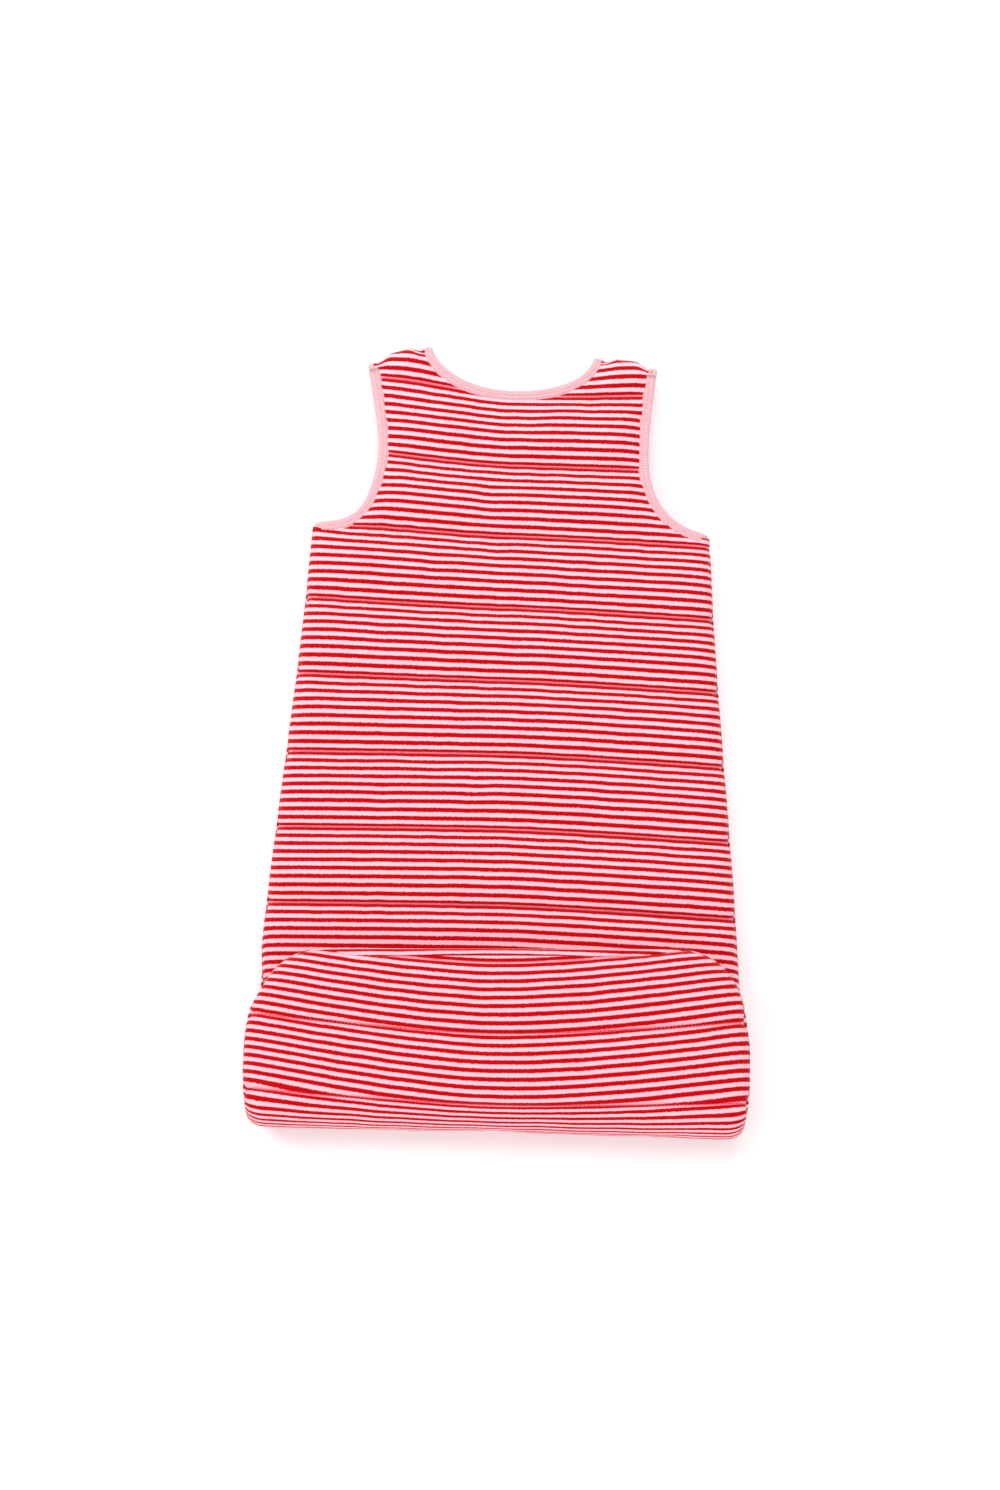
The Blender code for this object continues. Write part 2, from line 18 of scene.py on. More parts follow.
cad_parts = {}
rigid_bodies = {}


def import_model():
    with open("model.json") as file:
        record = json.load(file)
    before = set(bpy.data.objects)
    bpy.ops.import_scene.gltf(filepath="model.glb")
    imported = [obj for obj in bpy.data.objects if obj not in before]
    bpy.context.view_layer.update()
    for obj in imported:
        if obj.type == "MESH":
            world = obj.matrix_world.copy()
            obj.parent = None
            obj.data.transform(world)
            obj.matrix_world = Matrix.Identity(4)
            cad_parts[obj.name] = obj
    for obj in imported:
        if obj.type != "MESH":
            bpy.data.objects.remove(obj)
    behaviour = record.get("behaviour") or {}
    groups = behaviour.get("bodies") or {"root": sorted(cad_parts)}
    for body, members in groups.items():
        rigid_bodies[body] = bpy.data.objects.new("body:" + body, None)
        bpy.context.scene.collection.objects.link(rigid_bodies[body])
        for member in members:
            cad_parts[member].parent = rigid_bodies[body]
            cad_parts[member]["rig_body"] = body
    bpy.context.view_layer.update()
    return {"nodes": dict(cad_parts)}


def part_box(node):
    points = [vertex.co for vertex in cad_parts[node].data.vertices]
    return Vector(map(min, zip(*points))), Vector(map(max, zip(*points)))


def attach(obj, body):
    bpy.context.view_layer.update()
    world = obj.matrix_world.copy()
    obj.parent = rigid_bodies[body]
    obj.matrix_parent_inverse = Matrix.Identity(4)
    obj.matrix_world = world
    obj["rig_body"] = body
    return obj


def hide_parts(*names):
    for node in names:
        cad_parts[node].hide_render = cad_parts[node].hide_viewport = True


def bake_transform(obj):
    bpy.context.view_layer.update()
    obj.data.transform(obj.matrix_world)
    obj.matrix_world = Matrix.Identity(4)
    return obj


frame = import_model()

MM = 0.001
SHOULDER_Y = 302 * MM
FOLD_Y = -278.6 * MM
R = 23.4 * MM  # height of the fold's axis, and the radius of its outer face
FOLD_END = FOLD_Y - math.pi * R  # s where the foot end starts
SPLIT = FOLD_Y - math.pi / 2 * R  # s at the middle of the fold
HEM = 178 * MM
CHEST = 152 * MM
TOE_Y = -175.4 * MM
TOE_S = FOLD_END - (TOE_Y - FOLD_Y)
TOE_RADIUS = 50 * MM
BAND = 8.4 * MM  # width of the rib binding
PITCH = 6.05 * MM  # from one red stripe to the next along the cloth
SKIN = 1.2 * MM
LINING = 0.8 * MM
SIDE_DEPTH = 11.5 * MM  # where the front and the back meet at a side
NECK_HALF, SHOULDER_END = 63 * MM, 113 * MM  # x of the shoulder's two ends
BACK_DROP, FRONT_DROP = 31 * MM, 75 * MM  # how deep each panel's neckline is
BACK_LEVEL, FRONT_LEVEL = 19.1 * MM, 4.1 * MM  # depth of the bindings' two sides


def smooth(t):
    return t * t * (3 - 2 * t)


def ramp(a, b, x):
    """0 where x is at a, 1 where it is at b, and smooth between."""
    return smooth(np.clip((x - a) / (b - a), 0, 1))


def ramp_mm(a, b, x):
    return ramp(a * MM, b * MM, x)


def smooth_min(a, b, k):
    h = np.clip(0.5 + 0.5 * (b - a) / k, 0, 1)
    return b * (1 - h) + a * h - k * h * (1 - h)


def from_fold(s):
    """Distance along the cloth from the stretch that goes round the fold."""
    return np.maximum(0, np.maximum(s - FOLD_Y, FOLD_END - s))


def seam_depth(s):
    """Depth at which the two panels meet: the bag's sides thin out towards the fold."""
    return smooth_min(SIDE_DEPTH, 9.9 * MM + from_fold(s), 1 * MM)


def rounded(u, width, power=2.2):
    """A quarter of a superellipse: 0 at an edge, 1 from width inwards."""
    t = 1 - np.clip(u / width, 0, 1)
    return (1 - t**power) ** (1 / power)


# ---- outlines ----


def curve(*knots, steps=24):
    made = []
    for i in range(0, len(knots) - 1, 3):
        stretch = interpolate_bezier(*(Vector((*k, 0)) for k in knots[i : i + 4]), steps)
        made += stretch[1:] if made else stretch
    return np.array([(p.x, p.y) for p in made])


def unit(vectors):
    return vectors / np.linalg.norm(vectors, axis=1)[:, None]


def normals(line):
    """Unit vectors to the right of a line of points."""
    d = unit(np.gradient(line, axis=0))
    return np.stack([d[:, 1], -d[:, 0]], 1)


def aside(line, distance):
    return line + normals(line) * distance


def lengths(line):
    return np.concatenate([[0], np.cumsum(np.linalg.norm(np.diff(line, axis=0), axis=1))])


def resampled(line, step):
    """The line again with points evenly spaced."""
    at = lengths(line)
    where = np.linspace(0, at[-1], max(2, int(round(at[-1] / step)) + 1))
    return np.stack([np.interp(where, at, c) for c in line.T], 1)


def neck_edge(drop):
    w, low = NECK_HALF, SHOULDER_Y - drop
    return curve((0, low), (0.58 * w, low), (w, SHOULDER_Y - 0.55 * drop), (w, SHOULDER_Y))


def armhole_edge():
    top, narrow, low = 292 * MM, 220 * MM, 158 * MM
    a, b = 0.3 * (top - narrow), 0.55 * (narrow - low)
    return curve(
        (0.113, top), (0.109, top - a), (0.104, narrow + a), (0.104, narrow),
        (0.104, narrow - b), (0.104 + 0.35 * 0.048, low + 0.003), (CHEST, low),
    )  # fmt: skip


def side_edge():
    top, end = 149.7 * MM, -277.4 * MM
    reach = 0.32 * (top - end)
    return curve((CHEST, top), (CHEST + 0.17 * (HEM - CHEST), top - reach), (HEM, end + reach), (HEM, end))


def shoulder_y(x):
    return SHOULDER_Y - 10 * MM * (x - NECK_HALF) / (50 * MM)


UNDER = 4.6 * MM  # how far the cloth's edge lies inside the outside of the binding


def edges_of(drop):
    """A panel's cloth edges on the +X side, each a line of points: neck, shoulder, armhole, side."""
    neck = aside(neck_edge(drop), UNDER)
    neck = neck[neck[:, 1] < shoulder_y(NECK_HALF + UNDER) - 1 * MM]
    arm = aside(armhole_edge(), UNDER)
    ends = NECK_HALF + UNDER, SHOULDER_END - UNDER
    shoulder = np.array([(x, shoulder_y(x)) for x in np.linspace(*ends, 6)])
    arm = arm[(arm[:, 1] < shoulder[-1, 1] - 1 * MM) & (arm[:, 0] < CHEST - 1 * MM)]
    return neck, shoulder, arm, np.concatenate([[(CHEST, arm[-1, 1])], side_edge()])


def mirror(line):
    return line[::-1] * (-1, 1)


def toe_line(inset=0.0):
    """The foot end's outline on the +X side in x and s, from the fold to the middle of the toe."""
    r = TOE_RADIUS
    turn = np.radians(np.linspace(0, 90, 16))[:, None]
    corner = np.array([HEM - r, TOE_S + r]) + (r - inset) * np.hstack([np.cos(turn), -np.sin(turn)])
    return np.concatenate([[(HEM - inset, FOLD_END)], corner, [(0, TOE_S + inset)]])


def nearest(points, line):
    """Distance from each point to a line, the nearest place on it, and how far along it that is."""
    a, d = line[:-1], np.diff(line, axis=0)
    long = (d**2).sum(1)
    starts = lengths(line)[:-1]
    out = []
    for p in np.array_split(points, max(1, len(points) * len(a) // 2_000_000)):
        t = np.clip(((p[:, None] - a) * d).sum(2) / long, 0, 1)
        q = a + t[:, :, None] * d
        gap = ((p[:, None] - q) ** 2).sum(2)
        k = gap.argmin(1)
        i = np.arange(len(p))
        out.append(np.column_stack([np.sqrt(gap[i, k]), q[i, k], starts[k] + t[i, k] * np.sqrt(long[k])]))
    out = np.concatenate(out)
    return out[:, 0], out[:, 1:3], out[:, 3]


def within(points, polygon):
    inside = np.zeros(len(points), bool)
    x, y = points.T
    for (ax, ay), (bx, by) in zip(polygon, np.roll(polygon, -1, 0)):
        if ay == by:
            continue
        inside ^= ((ay > y) != (by > y)) & (x < (bx - ax) * (y - ay) / (by - ay) + ax)
    return inside


def filled(outline, rows, step):
    """Points and triangles that fill an outline: the points lie in rows."""
    xs = np.arange(-HEM, HEM + step, step)
    inner = np.array([(x, s) for s in rows for x in xs])
    inner = inner[within(inner, outline)]
    gap, _, _ = nearest(inner, np.vstack([outline, outline[:1]]))
    inner = inner[gap > 0.4 * step]
    points = np.vstack([outline, inner])
    n = len(outline)
    rim = [(i, (i + 1) % n) for i in range(n)]
    got = delaunay_2d_cdt([Vector(p) for p in points], rim, [list(range(n))], 1, 1e-7)
    return np.array([tuple(p) for p in got[0]]), np.array([f for f in got[2] if len(f) == 3])


# ---- the quilted panels ----

CHAMBER = 57.3 * MM  # from one row of stitches to the next
SLOT = 9.5 * MM  # half the width of the front's opening, where the zip is
SLOT_END = -243.8 * MM
BACK_STITCHES = 19.2 * MM  # depth of the back's rows of stitches
FRONT_STITCHES = 3.6 * MM
BACK_LINING, FRONT_LINING = 15.1 * MM, 8.2 * MM
UNDER_FLAP = 23.0 * MM  # as high as the back can swell where the foot end lies on it
BACK_IN_FOLD, LINING_IN_FOLD = 15.4 * MM, 10.4 * MM  # the back's two faces where they go round the fold
SEAM_GAP = 0.05 * MM  # each panel's share of the gap at a seam
PAD_UNDER_SKIN, PAD_OVER_LINING = 1.7 * MM, 1.2 * MM
LEAST_PAD = 0.2 * MM  # half the wadding's least thickness


def soft_abs(x):
    """The size of x, without a kink at the middle of the bag."""
    return np.sqrt(x * x + (8 * MM) ** 2) - 8 * MM


def seam_roll(s):
    """How far in from a seam the cloth is rounded."""
    return 14 * MM + 2 * MM * ramp(FOLD_END, TOE_S, s)


class Panel:
    """One quilted panel: where its rows of stitches run, and the height of each layer between them."""

    def __init__(self, grooves, back):
        self.grooves = np.array(sorted(grooves, reverse=True))
        self.back = back
        self.puffed = None
        self.drop = BACK_DROP if back else FRONT_DROP
        neck, shoulder, arm, side = edges_of(self.drop)
        around = np.concatenate([side, toe_line()])
        self.bound = [neck, mirror(neck), arm, mirror(arm)]
        self.seam = [shoulder, mirror(shoulder), around, mirror(around)]
        self.tables = [self.chamber_table(i) for i in range(len(self.grooves) - 1)]
        self.starts = np.concatenate([[0], np.cumsum([t[2] for t in self.tables])])

    def profile(self, t, length):
        """Height of the cloth above its rows of stitches, at t below the row on the neck's side."""
        u = t / length
        if self.back:
            rise, fall, tall, crown = 4.0 * MM, 1.2 * MM, 3.2 * MM, 5.9 * MM
            return tall * (1 - np.exp(-t / rise) - np.exp(-(length - t) / fall)) + crown * u * (1 - u**3)
        reach = 1.7 * MM
        swell = 2.5 * MM * (1 - np.exp(-t / reach) - np.exp(-(length - t) / reach))
        return swell + 4.8 * MM * u * (1 - u)

    def chamber_table(self, i):
        """Along one chamber: places, the cloth's length in stripes up to each, and its stripes in all."""
        length = self.grooves[i] - self.grooves[i + 1]
        t = np.linspace(0, length, 400)
        h = self.profile(t, length)
        taken_up = (2.0 if self.back else 0.4) * MM * np.exp(-(length - t) / (1.5 * MM))
        cloth = lengths(np.column_stack([t, h])) + taken_up - taken_up[0]
        stripes = max(1, round(cloth[-1] / PITCH))
        if not self.back and self.grooves[i] > FOLD_Y - 20 * MM > self.grooves[i + 1]:
            stripes += 5  # the cloth is bunched where it goes round the fold
        return t, cloth / cloth[-1] * stripes, stripes

    def bow(self, x, s):
        """How far the cloth's rows stray from straight lines across the bag."""
        a = soft_abs(x) / (100 * MM)
        if self.back:
            left = 15.2 * ramp_mm(95, 320, s)
            left += 4.2 * ramp_mm(-40, 110, s) * (1 - ramp_mm(150, 270, s))
            right = 6.0 * np.clip((s - 80 * MM) / (186 * MM), 0, 1.2) ** 2
            up = np.where(x < 0, left, right) * MM
            down = np.where(x < 0, 1.2, 3.0 + 0.6 * ramp_mm(80, 200, s)) * MM
            return (up - down) * a**1.3
        return -self.smile(x, s) * self.smile_share(s)

    def smile(self, x, row):
        """How far the front's stripes rise towards its sides, on the foot end."""
        a = soft_abs(x) / (100 * MM)
        return np.where(x < 0, 9.6, 7.6) * MM * a**1.5 * ramp_mm(-285, -350, row)

    def smile_share(self, row):
        """The part of the smile that the rows of stitches follow too."""
        return 0.40 + 0.18 * ramp_mm(-345, -395, row) + 0.2 * ramp_mm(-400, -450, row)

    def straightened(self, line):
        """Points in x and real s, as x and the s of their row."""
        s = line[:, 1].copy()
        for _ in range(12):
            s = line[:, 1] - self.bow(line[:, 0], s)
        return np.column_stack([line[:, 0], s])

    def chamber(self, row):
        """For rows: index of the chamber, distance below its upper stitches, its length."""
        i = np.clip(np.searchsorted(-self.grooves, -row, side="right") - 1, 0, len(self.tables) - 1)
        top = self.grooves[i]
        length = top - self.grooves[i + 1]
        return i, np.clip(top - row, 0, length), length

    def stripes(self, x, row):
        """The cloth's own coordinate, in stripes counted from the first row of stitches."""
        i, t, _ = self.chamber(row)
        made = np.zeros(len(row))
        for k, (places, cloth, _) in enumerate(self.tables):
            m = i == k
            made[m] = self.starts[k] + np.interp(t[m], places, cloth)
        if not self.back:
            made -= self.smile(x, row) * (1 - self.smile_share(row)) * ramp_mm(-326, -352, row) / PITCH
        return made - 0.25

    def from_stitches(self, row):
        """Distance from rows to the nearest row of stitches."""
        _, t, length = self.chamber(row)
        return np.minimum(t, length - t)

    def real(self, flat):
        """The real s of places given by x and the s of their row."""
        return flat[:, 1] + self.bow(flat[:, 0], flat[:, 1])

    def gaps(self, here):
        """Distances to each seam line, and to the nearest bound edge."""
        at_seams, at_bounds = ([nearest(here, k)[0] for k in lines] for lines in (self.seam, self.bound))
        return at_seams, np.min(at_bounds, axis=0)

    def rows(self, low, high, offsets):
        """Rows from low to high, close together near the stitches."""
        made = {low, high}
        for top, bottom in zip(self.grooves, self.grooves[1:]):
            length = top - bottom
            made |= {top - o for o in offsets if o < length / 2}
            made |= {bottom + o for o in offsets if o < length / 2}
        return sorted(s for s in made if low <= s <= high)

    def place(self, x, row, layer, lift=0.0):
        """Where cloth lies. layer is outer, inner (the lining's inside), pad_outer or pad_inner.
        lift moves it out, away from the other panel."""
        s = row + self.bow(x, row)
        here = np.column_stack([x, s])
        at_seams, at_bound = self.gaps(here)
        at_seam = np.min(at_seams, axis=0)
        at_shoulder = np.minimum(at_seams[0], at_seams[1])
        _, t, length = self.chamber(row)
        near = np.minimum(t, length - t)
        tall = self.profile(t, length)
        away = from_fold(s)
        uneven = wander(x, s) * (1 - np.exp(-near / (9 * MM)))
        pucker = ripple(x, row) * np.exp(-near / (7 * MM)) * (1 - np.exp(-near / (1.2 * MM)))
        if self.back:
            full = BACK_STITCHES + tall + uneven + 0.8 * pucker
            covered = ramp_mm(-150, -172, s)
            full = full * (1 - covered) + covered * smooth_min(full, UNDER_FLAP, 2 * MM)
            outer = smooth_min(full, BACK_IN_FOLD + away, 2 * MM)
            inner = smooth_min(BACK_LINING - 0.12 * tall, LINING_IN_FOLD + away, 2 * MM)
            seam = seam_depth(s) + SEAM_GAP
            edge = BACK_LEVEL
        else:
            outer = (FRONT_STITCHES - tall).clip(0) + 0.35 * pucker
            outer = outer - ramp(FOLD_Y, SPLIT, s) * (uneven - 0.5 * MM) * 0.8
            outer = np.where(s > FOLD_Y, outer.clip(0), outer)
            outer = outer + 2.6 * MM * (1 - rounded(slot_distance(x, s), 5 * MM))
            inner = FRONT_LINING - 0.8 * MM * np.exp(-near / (5 * MM))
            seam = seam_depth(s) - SEAM_GAP
            edge = FRONT_LEVEL
        sign = 1 if self.back else -1
        before = outer
        outer = seam + (outer - seam) * rounded(at_seam, seam_roll(s))
        drop = (before - outer).clip(0) * ramp_mm(-170, -140, s) * ramp_mm(2, 15, at_bound)
        inner = seam + (inner - seam) * ramp_mm(0, 11, at_seam)
        taper = rounded(at_bound - 3.7 * MM, 17 * MM, 1.9)  # down into the binding
        before = outer
        skin_edge, lining_edge = edge + sign * 1.0 * MM, edge - sign * 1.7 * MM
        outer = skin_edge + (outer - skin_edge) * taper
        fallen = (before - outer).clip(0) + drop if self.back else 0.0
        inner = lining_edge + (inner - lining_edge) * taper
        depth = {"outer": outer, "inner": inner}.get(layer)
        if layer.startswith("pad"):
            skin, lining = outer - sign * PAD_UNDER_SKIN, inner + sign * PAD_OVER_LINING
            middle = (skin + lining) / 2
            face, way = (skin, sign) if layer == "pad_outer" else (lining, -sign)
            depth = middle + way * np.maximum(way * (face - middle), LEAST_PAD)
        drawn_in = np.exp(-((near / (5 * MM)) ** 2)) * (1 - ramp_mm(0, 40, at_seam)) * ramp_mm(0, 20, at_bound)
        bulge = (1 - ramp_mm(0, 30, at_seam)) * ramp_mm(0, 20, at_bound)
        moved = x - np.sign(x) * (1.7 * drawn_in - 0.7 * bulge) * MM
        corner = (1 - ramp_mm(2, 14, at_bound)) * (1 - ramp_mm(0, 11, at_shoulder))
        along = s - 4.2 * MM * corner + 0.22 * fallen
        if layer != "outer":  # the layers inside end short of the seams
            short = 3.0 * MM if layer.startswith("pad") else 1.6 * MM
            ends = short * (1 - ramp_mm(0, 12, at_seam))
            moved = moved - np.sign(x) * ends * (np.abs(x) / HEM).clip(0, 1) ** 2
            along = along - short * (1 - ramp_mm(0, 12, at_shoulder)) + ends * ramp_mm(-395, -420, s)
        points = folded(moved, along, depth + sign * lift)
        if self.puffed is not None and layer in ("outer", "pad_outer"):
            keep = ramp_mm(0, 5, at_seam) * ramp_mm(5, 12, at_bound)
            if self.back:
                keep = keep * ramp_mm(-165, -140, s)
            points = points + self.puffed(x, row) * keep[:, None]
            if not self.back:
                points[:, 2] = np.where(s > FOLD_Y, points[:, 2].clip(0), points[:, 2])
        return points


def folded(x, s, depth):
    """Points of the folded bag from places on the opened one."""
    turn = np.clip((FOLD_Y - s) / R, 0, math.pi)
    radius = R - depth
    y = FOLD_Y - radius * np.sin(turn)
    z = R - radius * np.cos(turn)
    y = np.where(s > FOLD_Y, s, np.where(s < FOLD_END, FOLD_Y + FOLD_END - s, y))
    askew = (0.3 + 9.2 * (x + HEM) / (2 * HEM)) * MM * ramp_mm(-303, -180, y) * (turn > math.pi / 2)
    return settled(np.column_stack([x, y + askew, z]))


def settled(points):
    """How the bag has come to lie: its shoulders drawn up and to the left, its left armhole rounder
    at the bottom, its folded end widest halfway up."""
    x, y, z = points.T
    raised = 6.8 * MM * ramp_mm(0, -62, x) * ramp_mm(-125, -74, x) * ramp_mm(246, 306, y)
    raised += 3.2 * MM * ramp_mm(40, 110, x) * ramp_mm(250, 300, y)
    wider = 3.4 * MM * ramp_mm(-208, -243, y) * ramp_mm(-300, -262, y)
    narrower = 2.6 * MM * ramp_mm(-165, -192, y) * ramp_mm(-222, -200, y) * (x < 0)
    sideways = np.sign(x) * (wider - narrower) * (np.abs(x) / HEM) ** 4 - 2.3 * MM * ramp_mm(215, 300, y)

    def spot(at_x, at_y, wide):
        return np.exp(-((x - at_x * MM) ** 2 + (y - at_y * MM) ** 2) / (2 * (wide * MM) ** 2))

    corner = 3.4 * MM * spot(-126, 176, 14)
    sideways, raised = sideways + corner, raised - corner + 2.6 * MM * spot(-152, 160, 8)
    return np.column_stack([x + sideways, y + raised, z])


rng = np.random.default_rng(20)
WAVES = [(rng.uniform(8, 34), rng.uniform(8, 30), rng.uniform(0, 6.28)) for _ in range(7)]
RIPPLES = [(rng.uniform(190, 420), rng.uniform(-60, 60), rng.uniform(0, 6.28)) for _ in range(6)]


def wander(x, s):
    """Slow unevenness of stuffed cloth."""
    return 0.42 * MM * sum(np.sin(a * x + p) * np.cos(b * s + 2 * p) for a, b, p in WAVES)


def ripple(x, s):
    """The puckers that gathered cloth shows beside its stitches."""
    drift = np.floor(s / CHAMBER * 7) * 0.37
    return 0.22 * MM * sum(np.sin(a * x + b * s + p + drift * i * 0.02) for i, (a, b, p) in enumerate(RIPPLES))


def slot_distance(x, s):
    beyond = np.maximum(SLOT_END - s, 0)
    return np.hypot(np.maximum(np.abs(x) - SLOT, 0), beyond)


BACK = Panel([266 * MM - CHAMBER * k * 1.0015 for k in range(-1, 14)], back=True)
FRONT = Panel([-344.6 * MM + (50 * MM if k < 0 else CHAMBER) * k for k in range(-3, 12)], back=False)

# Distances in mm from a row of stitches to the rows of points beside it.
FINE = [0, 0.5, 1.1, 1.8, 2.7, 3.9, 5.5, 7.5, 10, 13, 16.5, 20, 24, 28]
COARSE = [0, 2.5, 6, 11, 18, 25]


def body_outline(panel, step):
    """The body's cloth from the neck to the middle of the fold, in x and s of its row."""
    neck, *rest = edges_of(panel.drop)
    if not panel.back:
        neck = neck[neck[:, 0] > SLOT]
        rest = [neck, *rest]
        neck = [(SLOT, neck[0, 1] + 0.2 * MM)]
    below = [(HEM, FOLD_Y - 1 * MM), (HEM, SPLIT), (0, SPLIT)]
    half = resampled(np.concatenate([neck, *rest, below]), step)
    if not panel.back:
        slot = resampled(np.array([(0, SLOT_END), (SLOT, SLOT_END), (SLOT, rest[0][0, 1])]), step)
        half = np.concatenate([slot[:-1], half])
    return panel.straightened(np.concatenate([half, mirror(half)[1:-1]]))


def foot_outline(panel, step):
    """The cloth from the middle of the fold to the toe, in x and s of its row."""
    side = np.concatenate([[(HEM, SPLIT)], toe_line()])
    if not panel.back:
        side = resampled(side, step / 2)
        side = side + normals(side) * seam_inset(*side.T)[:, None]
        side[-1, 0], side[0, 1] = 0, SPLIT
    half = resampled(side, step)[::-1]
    across = resampled(np.array([half[-1], (-half[-1, 0], half[-1, 1])]), step)
    return panel.straightened(np.concatenate([half, across[1:-1], mirror(half)[:-1]]))


def seam_inset(x, s):
    """How far the foot end's seam lies inside its outline, on top."""
    along_toe = ramp_mm(145, 98, np.abs(x))
    return 0.4 * MM + (0.5 + 5.7 * along_toe) * MM * ramp(FOLD_END - 5 * MM, TOE_S + 40 * MM, s)


# ---- meshes ----


def new_object(name, points, faces, finish, uv, crease=None):
    mesh = bpy.data.meshes.new(name)
    mesh.from_pydata([tuple(p) for p in points], [], [tuple(f) for f in faces])
    corner = np.empty(len(mesh.loops), np.int32)
    mesh.loops.foreach_get("vertex_index", corner)
    # The second map weights the painted shade beside the rows of stitches.
    maps = {"cloth": uv} if crease is None else {"cloth": uv, "crease": np.column_stack([crease, crease])}
    for map_name, places in maps.items():
        layer = mesh.uv_layers.new(name=map_name)
        layer.uv.foreach_set("vector", np.asarray(places, np.float32)[corner].ravel())
    mesh.shade_smooth()
    mesh.materials.append(finish)
    mesh.update()
    return linked(name, mesh)


def linked(name, data):
    made = bpy.data.objects.new(name, data)
    bpy.context.scene.collection.objects.link(made)
    return made


def closed_sheet(name, first, second, triangles, finish, uv, **maps):
    points, faces = closed_between(first, second, triangles)
    return new_object(name, points, faces, finish, np.vstack([uv, uv]), **maps)


def fixed(obj, slot, *nodes, body="bag_body"):
    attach(obj, body)
    if nodes:
        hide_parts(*nodes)


def rim_of(triangles):
    """Edges that belong to one triangle only, in that triangle's direction."""
    ends = np.concatenate([triangles[:, [0, 1]], triangles[:, [1, 2]], triangles[:, [2, 0]]])
    key = np.sort(ends, axis=1)
    _, back, count = np.unique(key, axis=0, return_inverse=True, return_counts=True)
    return ends[count[back.ravel()] == 1]


def vertex_normals(points, triangles):
    a, b, c = points[triangles.T]
    face = np.cross(b - a, c - a)
    made = np.zeros_like(points)
    for k in range(3):
        np.add.at(made, triangles[:, k], face)
    return made / np.maximum(np.linalg.norm(made, axis=1), 1e-12)[:, None]


def closed_between(first, second, triangles):
    """A closed body between two copies of a surface."""
    n = len(first)
    walls = [(b, a, a + n, b + n) for a, b in rim_of(triangles)]
    return np.vstack([first, second]), [*map(tuple, triangles), *map(tuple, triangles[:, ::-1] + n), *walls]


def cells(rows, columns):
    """The quads of a grid of points."""
    i = np.arange(rows * columns).reshape(rows, columns)
    return np.column_stack([i[:-1, :-1].ravel(), i[:-1, 1:].ravel(), i[1:, 1:].ravel(), i[1:, :-1].ravel()])


def outward(points, triangles, other):
    """Triangles turned so that they face away from the other surface."""
    n = vertex_normals(points, triangles)
    return triangles if ((points - other) * n).sum() > 0 else triangles[:, ::-1]


FRAMES = 20
CLOTH = {
    "quality": 6, "mass": 0.12, "tension_stiffness": 12, "compression_stiffness": 12, "shear_stiffness": 4,
    "bending_stiffness": 1.5, "vertex_group_mass": "held", "use_pressure": True, "uniform_pressure_force": 3.0,
    "shrink_min": -0.012,  # the cloth is cut a little longer than the lines it is sewn along
}  # fmt: skip
MOST_MOVED = 2.0 * MM
MOVED_ALONG = 0.45  # the share kept of how it moves along the panel


